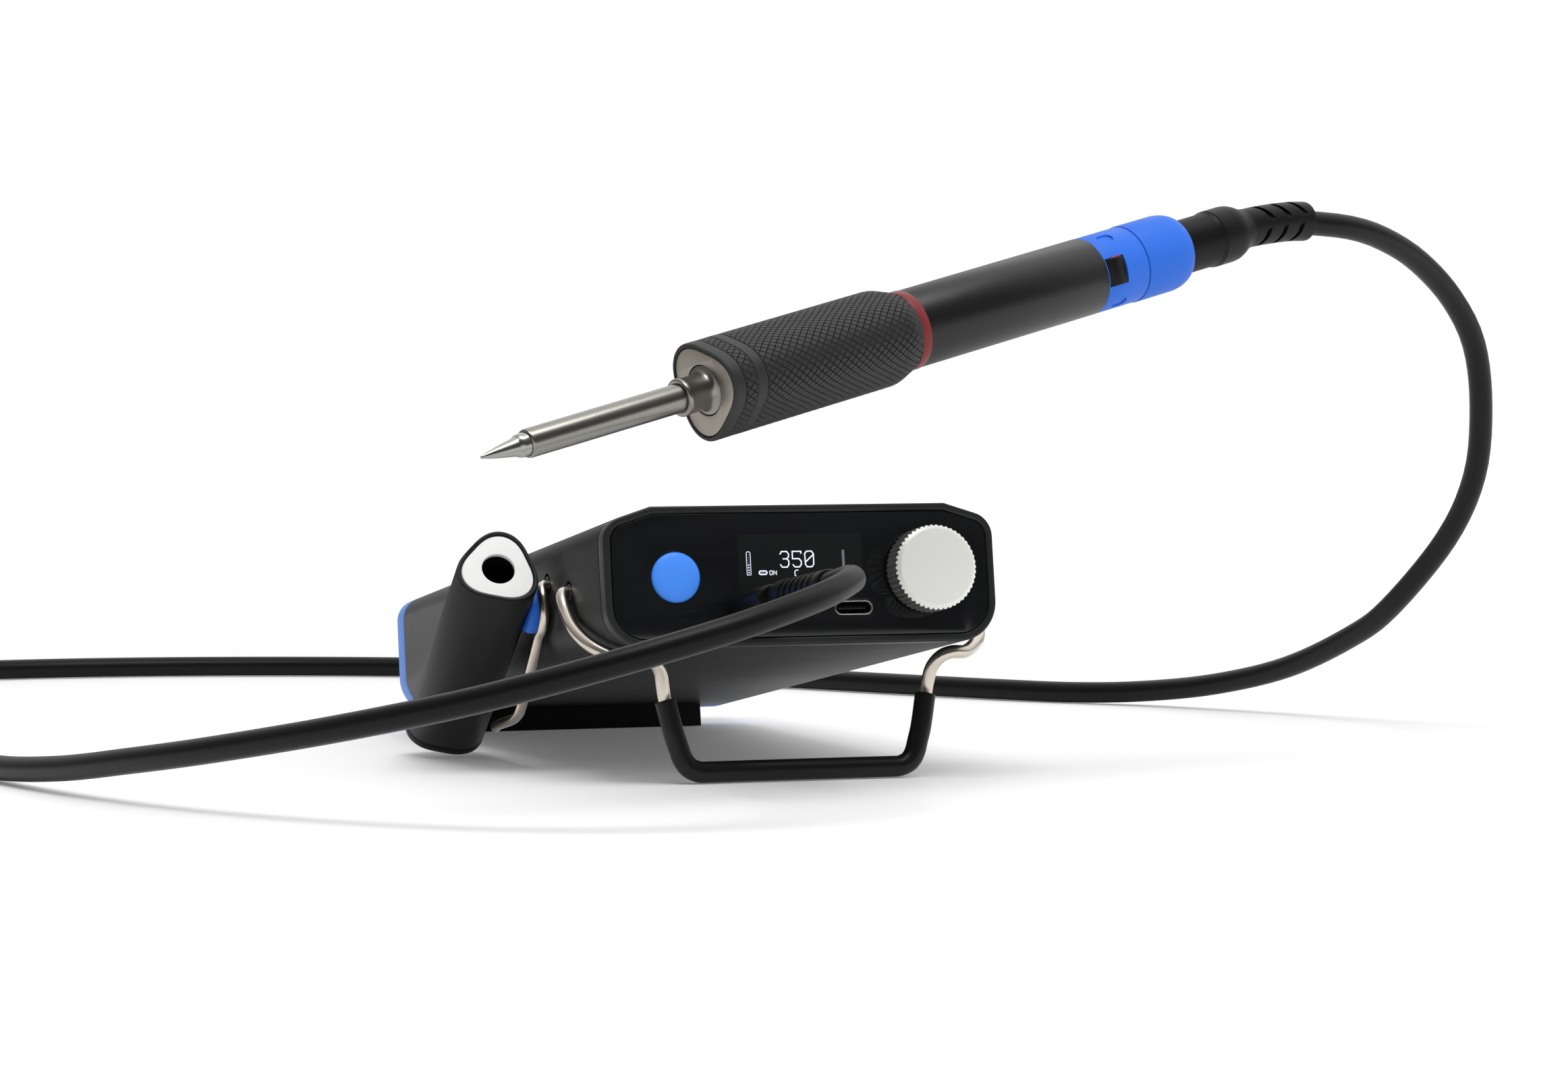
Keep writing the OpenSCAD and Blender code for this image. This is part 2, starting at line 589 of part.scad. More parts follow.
module tip_plug() color([0.83, 0.68, 0.3]) on_iron(shank_end)
    rotate_extrude() polygon([[0, 0], [2.4, 0], [2.4, 4], [2.2, 4.4], [2.4, 4.8], [2.4, 10], [2.2, 10.4], [2.4, 10.8],
        [2.4, 16], [1.2, 18], [0, 18]]);

module tip_sleeve() color([0.74, 0.72, 0.68]) on_iron() difference() {
    rotate_extrude() polygon([[0, collar_front], [collar_r - 0.2, collar_front], [collar_r + 0.15, collar_front + 0.3],
        [collar_r + 0.15, collar_front + 1.1], [collar_r, collar_front + 1.3], [collar_r, plate_front + 0.6], [5.3, plate_front + 0.6],
        [5.3, plate_back + 0.7], [tube_bore_r - gap, plate_back + 0.7], [tube_bore_r - gap, plate_back + 8], [0, plate_back + 8]]);
    translate([0, 0, collar_front - 1]) cylinder(r = shank_r + run, h = 30);
}

module face_plate() color([0.58, 0.55, 0.51]) on_iron(plate_front) difference() {
    linear_extrude(plate_back - plate_front) polygon(tri(grip_r - 1.1, grip_r * 0.09, 0));
    translate([0, 0, -1]) cylinder(r = 5.3 + gap, h = 5);
}

// Rubber grip: three-sided section that runs out into a round neck, bored for the handle tube
module grip() color([0.16, 0.16, 0.16]) on_iron() difference() {
    a = grip_r * 0.1;
    tri_loft([[grip_front, grip_r - 0.5, a * 0.94], [grip_front + 0.8, grip_r, a], [grip_taper, grip_r, a],
        [grip_taper + 1, grip_r - 0.2, a * 0.9], [grip_taper + 2.1, grip_r - 0.6, a * 0.65],
        [grip_taper + 3, tube_r + 0.6, a * 0.35], [ring_front - 0.05, tube_r + 0.2, a * 0.1]]);
    translate([0, 0, grip_front - 1]) linear_extrude(plate_back - grip_front + 1) polygon(tri(grip_r - 1.1 + gap, grip_r * 0.09, 0));
    translate([0, 0, grip_front]) cylinder(r = grip_bore_r, h = ring_front - grip_front + 1);
}

module accent_ring() color([0.55, 0.12, 0.12]) on_iron(ring_front) ring(tube_r + 0.1, grip_bore_r, ring_t);

module handle_tube() color([0.16, 0.16, 0.16]) on_iron() difference() {
    union() {
        translate([0, 0, plate_back + 0.7]) cylinder(r = grip_bore_r - run, h = tube_front - plate_back);
        translate([0, 0, tube_front]) cylinder(r = tube_r, h = tube_end - tube_front);
    }
    translate([0, 0, plate_back]) cylinder(r = tube_bore_r, h = tube_end - plate_back + 1);
}

socket_front = 72;
socket_len = 20;
module tip_socket() color([0.85, 0.8, 0.6]) on_iron(socket_front) ring(tube_bore_r - gap, 2.4 + 0.1, socket_len);

usb_start = tube_end - 11.7;
module iron_board() color([0.05, 0.25, 0.12]) on_iron(socket_front + socket_len)
    translate([-0.6, -5.8, 0]) cube([1.2, 11.6, usb_start - socket_front - socket_len]);

module iron_usb_socket() color("silver") on_iron(tube_end - 0.4) mirror([0, 0, 1]) rotate([0, 0, 90]) usb_socket(tube_end - 0.4 - usb_start);

// Rear collar with a spigot into the tube and a window for the latch
latch_a = 8;
latch_w = 6;
latch_l = 5.2;
module rear_collar() color([0.23, 0.49, 0.91]) on_iron() difference() {
    union() {
        translate([0, 0, tube_end - 9]) cylinder(r = tube_bore_r - run, h = 10);
        translate([0, 0, tube_end]) cylinder(r = tube_r, h = collar_end - tube_end);
    }
    translate([0, 0, tube_end - 10]) cylinder(r = usb_w / 2 + 0.25, h = 10);
    translate([0, 0, tube_end]) cylinder(r = plug_r + 0.1, h = 20);
    rotate([0, 0, latch_a]) translate([0, -latch_w / 2 - gap, tube_end + 0.2]) cube([20, latch_w + 2 * gap, latch_l + 2 * gap]);
}

module latch() color([0.07, 0.07, 0.07]) on_iron(tube_end + 0.2 + gap) rotate([0, 0, latch_a])
    translate([plug_r + 0.15, -latch_w / 2, 0]) cube([tube_r - plug_r + 0.1, latch_w, latch_l]);

module lock_ring() color([0.2, 0.48, 0.95]) on_iron() difference() {
    rotate_extrude() polygon(concat([[0, lock_front], [tube_r + 0.1, lock_front]],
        arc_2(plug_r + 0.5, lock_end - lock_round, tube_r - plug_r - 0.4, lock_round), [[0, lock_end]]));
    translate([0, 0, lock_front - 1]) cylinder(r = plug_r + 0.1, h = 30);
}

// ---------- cord with its two plugs ----------
module iron_plug() color([0.06, 0.06, 0.06]) on_iron() {
    rotate_extrude() polygon([[0, tube_end + 0.6], [5, tube_end + 0.6], [5, tube_end + 8.3], [plug_r, tube_end + 8.6],
        [plug_r, plug_ring - 0.6], [plug_r + 0.3, plug_ring], [plug_r + 0.35, plug_ring + 0.4], [plug_r + 0.35, plug_ring + 6],
        [plug_r - 0.1, plug_ring + 7.6], [plug_r - 1.1, plug_neck - 2.4], [4.5, plug_neck], [0, plug_neck]]);
    translate([0, 0, usb_start + 4.6]) rotate([0, 0, 90]) linear_extrude(tube_end - usb_start - 3.9)
        difference() {
            slot_2d(8.2, 2.4);
            slot_2d(7.5, 1.7);
        }
}

// Relief that droops under the cord's weight, drawn on the bench's axes
function iron_point(s, drop) = iron_tip + s * [cos(iron_pitch) * cos(iron_yaw), cos(iron_pitch) * sin(iron_yaw), sin(iron_pitch)]
    - [0, 0, drop];
relief_path = [iron_point(plug_neck, 0), iron_point(219, 0.25), iron_point(224, 0.75), iron_point(229, 1.4),
    iron_point(relief_end - 1, 2.4)];
module iron_relief() color([0.06, 0.06, 0.06]) {
    p = spline(relief_path, 1.7);
    sweep(p, [for (i = [0 : len(p) - 1]) 4.5 - 0.02 * i], 16);
}

plug_len = 20;
station_relief_len = 30;
function station_point(x, y, z) =
    [x, y * cos(tilt) + z * sin(tilt) - foot_shift, z * cos(tilt) - y * sin(tilt) + front_lift];

// Hand-laid route: out of the iron, round to the right and down, behind the station,
// back on the left and up to the left port
cord_route = [relief_path[4], [138, -156, 123], [150, -150, 120.5], [163, -142, 115.5], [176.3, -133, 107],
    [186.4, -125, 96], [193, -116, 81], [197, -105, 64], [197, -90, 48], [193, -67, 30], [190, -50, 21.5],
    [184, -25, 12.5], [175, 0, 6.8], [164, 22, cord_r + 1], [151, 38, cord_r], [137, 56, cord_r], [116, 92, cord_r],
    [92, 134, cord_r], [58, 176, cord_r], [2, 217, cord_r], [-54, 239, cord_r], [-104, 243, cord_r], [-142, 231, cord_r],
    [-165, 203, cord_r], [-177, 160, cord_r], [-181, 100, cord_r], [-180, 30, cord_r], [-176, -40, cord_r], [-168, -99, cord_r],
    [-160, -137, 5], [-150, -170, 9], [-138, -198, 13.2], [-120, -228, 19], [-99, -252, 25.5], [-75, -267, 33],
    [-50, -270, 40], [-30, -261, 45], [-18, -247, 47.6], [-13, -232, 47.4],
    station_point(-port_x, -0.3 - plug_len - station_relief_len, port_z)];
module cord() color([0.1, 0.1, 0.1]) sweep(spline(cord_route, 15.5), cord_r, 10);

module station_plug() color([0.06, 0.06, 0.06]) on_station() {
    along_y(-port_x, port_z, -0.3 - plug_len) linear_extrude(plug_len) slot_2d(12.2, 7);
    along_y(-port_x, port_z, -1) linear_extrude(7) difference() {
        slot_2d(8.2, 2.4);
        slot_2d(7.5, 1.7);
    }
}

module station_relief() color([0.06, 0.06, 0.06]) on_station()
    along_y(-port_x, port_z, -0.3 - plug_len - station_relief_len)
        rotate_extrude() polygon([[0, 0], [3.4, 0], [3.7, 1], [4.2, station_relief_len - 6], [3.4, station_relief_len], [0, station_relief_len]]);

housing();
front_bezel();
front_panel();
display_module();
control_board();
board_screws();
power_button();
button_switch();
encoder_body();
encoder_rotor();
encoder_shaft();
knob();
usb_socket_left();
usb_socket_right();
power_board();
inductors();
capacitors();
battery_cell_1();
battery_cell_2();
battery_cell_3();
cell_holder_front();
cell_holder_rear();
cell_links();
rear_frame();
rear_panel();
rear_screws();
rear_foot();
stand_bushings();
bracket_bushing();
wire_stand();
stand_sleeve();
bracket_wire();
saddle();
saddle_magnet();
cap_shell();
cap_face();
cap_core();
cap_end();
tip_cone();
tip_shank();
tip_plug();
tip_sleeve();
face_plate();
grip();
accent_ring();
handle_tube();
tip_socket();
iron_board();
iron_usb_socket();
rear_collar();
lock_ring();
latch();
iron_plug();
iron_relief();
cord();
station_relief();
station_plug();
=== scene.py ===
"""Finishes, detailed pieces, cords, light and camera for a battery soldering station.

Sizes are in millimetres in the maker's own frames: the station's body, the iron's axis and the
cap's axis. Each piece is put in place in metres when it is fitted to its CAD body.
"""
import math

import bpy
from mathutils import Matrix, Vector


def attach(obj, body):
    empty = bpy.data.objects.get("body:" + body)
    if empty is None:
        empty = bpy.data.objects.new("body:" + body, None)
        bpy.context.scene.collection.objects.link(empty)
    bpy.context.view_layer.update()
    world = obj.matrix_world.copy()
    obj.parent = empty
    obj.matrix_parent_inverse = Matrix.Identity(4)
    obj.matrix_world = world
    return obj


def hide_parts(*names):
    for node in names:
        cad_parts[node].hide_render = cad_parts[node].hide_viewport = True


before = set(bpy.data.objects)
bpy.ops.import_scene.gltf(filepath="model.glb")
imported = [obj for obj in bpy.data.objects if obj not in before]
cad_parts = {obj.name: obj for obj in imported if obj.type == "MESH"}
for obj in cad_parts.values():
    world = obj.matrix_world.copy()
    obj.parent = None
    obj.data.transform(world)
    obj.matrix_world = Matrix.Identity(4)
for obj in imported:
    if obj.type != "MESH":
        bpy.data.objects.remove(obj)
scene = bpy.context.scene
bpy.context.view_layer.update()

MM = 0.001
SCALE = Matrix.Scale(MM, 4)


def turn(degrees, axis):
    return Matrix.Rotation(math.radians(degrees), 4, axis)


def shift(x, y, z):
    return Matrix.Translation((x, y, z))


# ---------------------------------------------------------------- frames
TILT = 8.5
FOOT_MID = 172
LIFT = 4.75 + FOOT_MID * math.sin(math.radians(TILT))
SHIFT = (FOOT_MID - LIFT * math.sin(math.radians(TILT))) / math.cos(math.radians(TILT))
IRON_TIP = (-92, -64 - SHIFT, 73.1)
STATION = SCALE @ shift(0, -SHIFT, LIFT) @ turn(-TILT, "X")
IRON = SCALE @ shift(*IRON_TIP) @ turn(18.5, "Z") @ turn(-13.2, "Y") @ turn(90, "Y") @ turn(258, "Z")
CAP = STATION @ shift(-54.45, 104.4, -8.1) @ turn(-3.3, "Z") @ turn(65.5, "X")
BENCH = SCALE
FACING = turn(90, "X")  # raised along -Y instead of +Z


def facing(x, z, y=0):
    """The station's frame at a point of the front, with Z coming out of the panel."""
    return STATION @ shift(x, y, z) @ FACING


# ---------------------------------------------------------------- camera
camera = bpy.data.objects.new("camera", bpy.data.cameras.new("camera"))
scene.collection.objects.link(camera)
scene.camera = camera
camera.data.sensor_width = 36
camera.data.lens = 111.55
camera.data.clip_end = 50
AZIMUTH, ELEVATION, ROLL = -0.336538, 0.0351011, -0.0024131
camera.matrix_world = (
    Matrix.Translation((-0.35657, -1.1741, 0.09176))
    @ Matrix.Rotation(AZIMUTH, 4, "Z")
    @ Matrix.Rotation(math.pi / 2 - ELEVATION, 4, "X")
    @ Matrix.Rotation(ROLL, 4, "Z")
)


# ---------------------------------------------------------------- materials
def group(name, inputs, outputs):
    """An empty node group with the given sockets, and its input and output nodes."""
    made = bpy.data.node_groups.new(name, "ShaderNodeTree")
    for label, kind, value in inputs:
        socket = made.interface.new_socket(name=label, in_out="INPUT", socket_type="NodeSocket" + kind)
        if value is not None:
            socket.default_value = value
    for label, kind in outputs:
        made.interface.new_socket(name=label, in_out="OUTPUT", socket_type="NodeSocket" + kind)
    return made, made.nodes.new("NodeGroupInput"), made.nodes.new("NodeGroupOutput")


def node(tree, kind, values=None, **settings):
    made = tree.nodes.new("ShaderNode" + kind)
    for name, value in settings.items():
        setattr(made, name, value)
    for name, value in (values or {}).items():
        made.inputs[name].default_value = value
    return made


def combine(tree, a, b, operation="ADD"):
    """A Math node on two sockets or numbers."""
    made = node(tree, "Math", operation=operation)
    for place, value in enumerate((a, b)):
        if isinstance(value, (int, float)):
            made.inputs[place].default_value = value
        else:
            tree.links.new(value, made.inputs[place])
    return made.outputs[0]


def group_end(tree, given, out, amount, middle, noise):
    """Colour mixed by amount, roughness that swings as amount leaves middle, and the noise as height."""
    link = tree.links.new
    mix = node(tree, "Mix", data_type="RGBA")
    link(amount, mix.inputs["Factor"])
    link(given.outputs["Base"], mix.inputs["A"])
    link(given.outputs["Tint"], mix.inputs["B"])
    link(mix.outputs["Result"], out.inputs["Color"])
    swing = combine(tree, combine(tree, amount, middle, "SUBTRACT"), given.outputs["Spread"], "MULTIPLY")
    link(combine(tree, swing, given.outputs["Roughness"]), out.inputs["Roughness"])
    link(noise.outputs["Fac"], out.inputs["Height"])
    return tree


def grain_group():
    """Fine moulded or blasted grain over slow blotches."""
    tree, given, out = group("grain", [("Vector", "Vector", None), ("Base", "Color", (0.1, 0.1, 0.1, 1)),
            ("Tint", "Color", (0.2, 0.2, 0.2, 1)), ("Grain Scale", "Float", 2500.0),
            ("Blotch Scale", "Float", 30.0), ("Speckle", "Float", 0.3), ("Roughness", "Float", 0.5),
            ("Spread", "Float", 0.2)], [("Color", "Color"), ("Roughness", "Float"), ("Height", "Float")])
    fine = node(tree, "TexNoise", {"Detail": 3.0, "Roughness": 0.6})
    slow = node(tree, "TexNoise", {"Detail": 2.0})
    link = tree.links.new
    for noise, scale in ((fine, "Grain Scale"), (slow, "Blotch Scale")):
        link(given.outputs["Vector"], noise.inputs["Vector"])
        link(given.outputs[scale], noise.inputs["Scale"])
    speck = combine(tree, fine.outputs["Fac"], given.outputs["Speckle"], "MULTIPLY")
    amount = combine(tree, speck, combine(tree, slow.outputs["Fac"], 0.5, "MULTIPLY"))
    return group_end(tree, given, out, amount, 0.4, fine)


def drawn_group():
    """Drawn or turned metal: streaks stretched by the Stretch vector."""
    tree, given, out = group("drawn metal", [("Vector", "Vector", None),
            ("Base", "Color", (0.5, 0.5, 0.5, 1)), ("Tint", "Color", (0.6, 0.6, 0.6, 1)),
            ("Stretch", "Vector", (1, 1, 0.05)), ("Streak Scale", "Float", 3000.0),
            ("Roughness", "Float", 0.3), ("Spread", "Float", 0.2)],
        [("Color", "Color"), ("Roughness", "Float"), ("Height", "Float")])
    link = tree.links.new
    squeeze = node(tree, "VectorMath", operation="MULTIPLY")
    link(given.outputs["Vector"], squeeze.inputs[0])
    link(given.outputs["Stretch"], squeeze.inputs[1])
    streak = node(tree, "TexNoise", {"Detail": 4.0, "Roughness": 0.65})
    link(squeeze.outputs[0], streak.inputs["Vector"])
    link(given.outputs["Streak Scale"], streak.inputs["Scale"])
    haze = node(tree, "TexNoise", {"Scale": 90.0, "Detail": 2.0})
    link(given.outputs["Vector"], haze.inputs["Vector"])
    amount = combine(tree, combine(tree, streak.outputs["Fac"], 0.6, "MULTIPLY"),
                    combine(tree, haze.outputs["Fac"], 0.4, "MULTIPLY"))
    return group_end(tree, given, out, amount, 0.5, streak)


GRAIN = grain_group()
DRAWN = drawn_group()


def linear(red, green, blue):
    """A colour given as it is seen, 0 to 255, as the shader needs it."""
    return [((c / 255 + 0.055) / 1.055) ** 2.4 if c > 10 else c / 255 / 12.92 for c in (red, green,
            blue)] + [1]


def finish(name, pattern, base, tint, depth=0.02, along=None, shader=None, **values):
    """A Principled material fed by one of the pattern groups. along turns the pattern to a piece's frame."""
    made = bpy.data.materials.new(name)
    made.use_nodes = True
    tree = made.node_tree
    skin = tree.nodes["Principled BSDF"]
    for socket, value in (shader or {}).items():
        skin.inputs[socket].default_value = value
    where = tree.nodes.new("ShaderNodeTexCoord").outputs["Object"]
    if along is not None:
        mapping = node(tree, "Mapping", vector_type="TEXTURE")
        place, spin, _ = along.decompose()
        mapping.inputs["Location"].default_value = place
        mapping.inputs["Rotation"].default_value = spin.to_euler()
        tree.links.new(where, mapping.inputs["Vector"])
        where = mapping.outputs["Vector"]
    look = tree.nodes.new("ShaderNodeGroup")
    look.node_tree = pattern
    tree.links.new(where, look.inputs["Vector"])
    look.inputs["Base"].default_value = linear(*base)
    look.inputs["Tint"].default_value = linear(*tint)
    for socket, value in values.items():
        look.inputs[socket.replace("_", " ").title()].default_value = value
    tree.links.new(look.outputs["Color"], skin.inputs["Base Color"])
    tree.links.new(look.outputs["Roughness"], skin.inputs["Roughness"])
    bump = node(tree, "Bump", {"Strength": 0.6, "Distance": depth * MM})
    tree.links.new(look.outputs["Height"], bump.inputs["Height"])
    tree.links.new(bump.outputs["Normal"], skin.inputs["Normal"])
    return made


def sheen(level):
    return {"Specular IOR Level": level}


METAL = {"Metallic": 1.0}
SOFT = sheen(0.3)
housing_black = finish("housing black", GRAIN, (12, 12, 13), (46, 46, 46), 0.04, grain_scale=2200,
    roughness=0.4, spread=0.25, speckle=0.5, shader=sheen(0.22))
bezel_black = finish("bezel black", GRAIN, (30, 31, 31), (42, 43, 43), 0.008, grain_scale=2600, roughness=0.4,
    spread=0.1, shader=SOFT)
panel_black = finish("panel gloss", GRAIN, (18, 19, 21), (24, 25, 27), 0.0, grain_scale=300, roughness=0.1,
    spread=0.04, blotch_scale=12, shader=sheen(0.45))
screen_glass = finish("screen glass", GRAIN, (25, 27, 28), (30, 32, 32), 0.0, grain_scale=700, roughness=0.16,
    spread=0.04, shader=SOFT)
button_blue = finish("button blue", GRAIN, (62, 138, 252), (80, 152, 255), 0.004, grain_scale=2200,
    roughness=0.42, spread=0.1, shader=SOFT)
frame_blue = finish("rear frame blue", GRAIN, (98, 152, 244), (114, 168, 254), 0.006, grain_scale=2200,
    roughness=0.45, shader=SOFT)
collar_blue = finish("collar blue", GRAIN, (34, 100, 210), (48, 116, 226), 0.008, grain_scale=2400,
    roughness=0.5, spread=0.12, shader=SOFT)
saddle_blue = finish("saddle blue", GRAIN, (26, 96, 204), (40, 114, 224), 0.01, grain_scale=1800,
    roughness=0.4, shader=SOFT)
knob_metal = finish("knob metal", GRAIN, (240, 241, 236), (248, 248, 244), 0.006, grain_scale=2600,
    roughness=0.5, shader={"Metallic": 0.3})
# painted shade: the knob is one piece of metal, and this darker, more metallic copy of its finish stands in
# for the shade on its ridged sides
shaded_knob_side = finish("knob ridges painted shade", GRAIN, (140, 141, 140), (168, 169, 167), 0.01, grain_scale=2600,
    roughness=0.4, shader={"Metallic": 0.7})
tube_black = finish("tube black", GRAIN, (5, 5, 5), (20, 20, 20), 0.006, grain_scale=4200, blotch_scale=20,
    roughness=0.36, spread=0.2, speckle=0.7, shader=sheen(0.44))
grip_black = finish("grip rubber", GRAIN, (20, 20, 20), (38, 38, 37), 0.02, grain_scale=3600, roughness=0.55,
    spread=0.2, speckle=0.6, shader=sheen(0.5))
rubber_black = finish("smooth rubber", GRAIN, (12, 13, 13), (24, 25, 25), 0.004, grain_scale=2000,
    roughness=0.34, spread=0.15, shader=SOFT)
plug_black = finish("plug black", GRAIN, (9, 9, 9), (18, 18, 18), 0.012, grain_scale=2400, roughness=0.45,
    spread=0.15, shader=sheen(0.2))
cord_black = finish("cord silicone", GRAIN, (10, 10, 11), (19, 19, 20), 0.006, grain_scale=1800,
    blotch_scale=14, roughness=0.4, spread=0.12, shader=sheen(0.18))
cap_black = finish("cap black", GRAIN, (14, 15, 15), (23, 24, 24), 0.008, grain_scale=2400, roughness=0.46,
    spread=0.12, shader=sheen(0.22))
cap_white = finish("cap white", GRAIN, (236, 236, 234), (246, 246, 245), 0.03, grain_scale=1500,
    roughness=0.75, speckle=0.6)
wire_metal = finish("wire nickel", DRAWN, (206, 196, 182), (222, 214, 202), 0.003, streak_scale=900,
    stretch=(1, 1, 1), roughness=0.22, spread=0.14, shader=METAL)
shank_metal = finish("shank steel", DRAWN, (134, 132, 126), (150, 148, 142), 0.001, along=IRON,
    streak_scale=2600, stretch=(0.06, 0.06, 1), roughness=0.31, spread=0.05, shader=METAL)
tip_metal = finish("tip plating", DRAWN, (160, 159, 154), (168, 167, 162), 0.0, along=IRON, streak_scale=700,
    stretch=(0.3, 0.3, 1), roughness=0.27, spread=0.03, shader=METAL)
plate_metal = finish("plate blasted", GRAIN, (142, 135, 125), (174, 168, 158), 0.03, grain_scale=2400,
    roughness=0.46, spread=0.2, speckle=0.6, shader=METAL)
port_metal = finish("port steel", DRAWN, (190, 190, 188), (214, 214, 212), 0.002, streak_scale=1600,
    stretch=(1, 0.2, 1), roughness=0.28, shader=METAL)
port_black = finish("port inside", GRAIN, (8, 8, 9), (16, 16, 17), 0.004, roughness=0.4, shader=SOFT)
ring_red = finish("accent red", GRAIN, (108, 30, 32), (134, 48, 48), 0.01, grain_scale=2600, roughness=0.42,
    shader=SOFT)
board_green = finish("board green", GRAIN, (20, 84, 48), (30, 100, 58), 0.01, roughness=0.4)
cell_green = finish("cell wrap", GRAIN, (40, 130, 110), (54, 146, 124), 0.004, roughness=0.35)
part_black = finish("component black", GRAIN, (34, 34, 35), (48, 48, 49), 0.01, roughness=0.5)
part_metal = finish("component metal", DRAWN, (176, 176, 174), (204, 204, 202), 0.002, streak_scale=1500,
    roughness=0.34, shader=METAL)
brass = finish("contact brass", DRAWN, (206, 168, 92), (226, 192, 120), 0.002, streak_scale=1800,
    roughness=0.28, shader=METAL)
glow = finish("latch glow", GRAIN, (190, 40, 24), (220, 66, 40), 0.0, roughness=0.4)
digits_lit = finish("screen digits", GRAIN, (214, 222, 236), (232, 238, 248), 0.0, roughness=0.5,
    shader={"Emission Color": (0.62, 0.68, 0.8, 1), "Emission Strength": 0.55})
digits_dim = finish("screen dim", GRAIN, (86, 88, 92), (96, 98, 102), 0.0, roughness=0.5,
    shader={"Emission Color": (0.1, 0.105, 0.12, 1), "Emission Strength": 0.5})


# ---------------------------------------------------------------- making pieces
def stop_edit():
    bpy.ops.object.mode_set(mode="OBJECT")


def leave_edit():
    if bpy.context.object and bpy.context.object.mode != "OBJECT":
        stop_edit()
    bpy.ops.object.select_all(action="DESELECT")


def take(piece):
    """Makes this piece the only selected one."""
    leave_edit()
    piece.select_set(True)
    bpy.context.view_layer.objects.active = piece


def edit(piece):
    take(piece)
    bpy.ops.object.mode_set(mode="EDIT")
    bpy.ops.mesh.select_all(action="SELECT")


def pick_faces(piece, wanted):
    """Leaves the piece in edit mode with only the faces that wanted(face) names selected."""
    edit(piece)
    bpy.ops.mesh.select_mode(type="FACE")
    bpy.ops.mesh.select_all(action="DESELECT")
    stop_edit()
    for face in piece.data.polygons:
        face.select = wanted(face)
    bpy.ops.object.mode_set(mode="EDIT")


def pick_corners(piece, wanted):
    """Leaves the piece in edit mode with only the corners that wanted(corner) names selected."""
    edit(piece)
    bpy.ops.mesh.select_mode(type="VERT")
    bpy.ops.mesh.select_all(action="DESELECT")
    stop_edit()
    for corner in piece.data.vertices:
        corner.select = wanted(corner)
    bpy.ops.object.mode_set(mode="EDIT")
    bpy.ops.mesh.select_mode(type="VERT")


def tidy_skin(piece):
    """Merges doubles and points every face outwards."""
    edit(piece)
    bpy.ops.mesh.remove_doubles(threshold=1e-4)
    bpy.ops.mesh.dissolve_degenerate(threshold=1e-5)
    bpy.ops.mesh.select_all(action="SELECT")
    bpy.ops.mesh.normals_make_consistent(inside=False)
    stop_edit()


def modify(piece, kind, **settings):
    take(piece)
    added = piece.modifiers.new(kind.lower(), kind)
    for name, value in settings.items():
        setattr(added, name, value)
    bpy.ops.object.modifier_apply(modifier=added.name)


def bevel(piece, width, segments=3, angle=40):
    modify(piece, "BEVEL", width=width, segments=segments, limit_method="ANGLE",
           angle_limit=math.radians(angle), use_clamp_overlap=True, harden_normals=False)


def outline_piece(name, points):
    """A flat face with one corner at each (x, y) point."""
    leave_edit()
    bpy.ops.mesh.primitive_circle_add(vertices=len(points), fill_type="NGON")
    piece = bpy.context.object
    piece.name = name
    for corner, (x, y) in zip(piece.data.vertices, points):
        corner.co = (x, y, 0)
    return piece


def raised(name, points, low, high):
    """The outline raised along Z from low to high."""
    piece = outline_piece(name, points)
    edit(piece)
    bpy.ops.transform.translate(value=(0, 0, low))
    bpy.ops.mesh.extrude_region_move(TRANSFORM_OT_translate={"value": (0, 0, high - low)})
    bpy.ops.mesh.select_all(action="SELECT")
    bpy.ops.mesh.normals_make_consistent(inside=False)
    stop_edit()
    return piece


def sleeve(name, points, low, high, thick):
    """The outline's wall, thick inwards, from low to high, open at both ends."""
    piece = raised(name, points, low, high)
    pick_faces(piece, lambda face: abs(face.normal.z) > 0.9)
    bpy.ops.mesh.delete(type="ONLY_FACE")
    stop_edit()
    modify(piece, "SOLIDIFY", thickness=thick, offset=-1, use_even_offset=True, use_rim=True)
    return piece


def turned(name, profile, steps=96):
    """A turned piece: a closed profile of (radius, height) points spun round Z."""
    leave_edit()
    bpy.ops.mesh.primitive_circle_add(vertices=len(profile))
    piece = bpy.context.object
    piece.name = name
    for corner, (radius, height) in zip(piece.data.vertices, profile):
        corner.co = (radius, 0, height)
    edit(piece)
    bpy.ops.mesh.spin(steps=steps, angle=2 * math.pi, center=(0, 0, 0), axis=(0, 0, 1))
    tidy_skin(piece)
    return piece


def block(name, width, depth, height, place):
    """A block of the given size, centred on place."""
    leave_edit()
    bpy.ops.mesh.primitive_cube_add(size=1, location=(0, 0, 0))
    piece = bpy.context.object
    piece.name = name
    piece.data.transform(Matrix.Translation(place) @ Matrix.Diagonal((width, depth, height, 1)))
    return piece


def cut(piece, cutter, operation="DIFFERENCE"):
    """Takes the cutter out of the piece, or keeps only what both share. The cutter is then removed."""
    modify(piece, "BOOLEAN", operation=operation, solver="EXACT", object=cutter)
    bpy.data.objects.remove(cutter)


def bored(piece, radius, x, y, low, high, steps=64):
    """Drills a round hole along Z."""
    leave_edit()
    bpy.ops.mesh.primitive_cylinder_add(vertices=steps, radius=radius, depth=high - low, location=(0, 0, 0))
    drill = bpy.context.object
    drill.data.transform(Matrix.Translation((x, y, (low + high) / 2)))
    cut(piece, drill)


def join(first, *others):
    take(first)
    for other in others:
        other.select_set(True)
    bpy.ops.object.join()
    return first


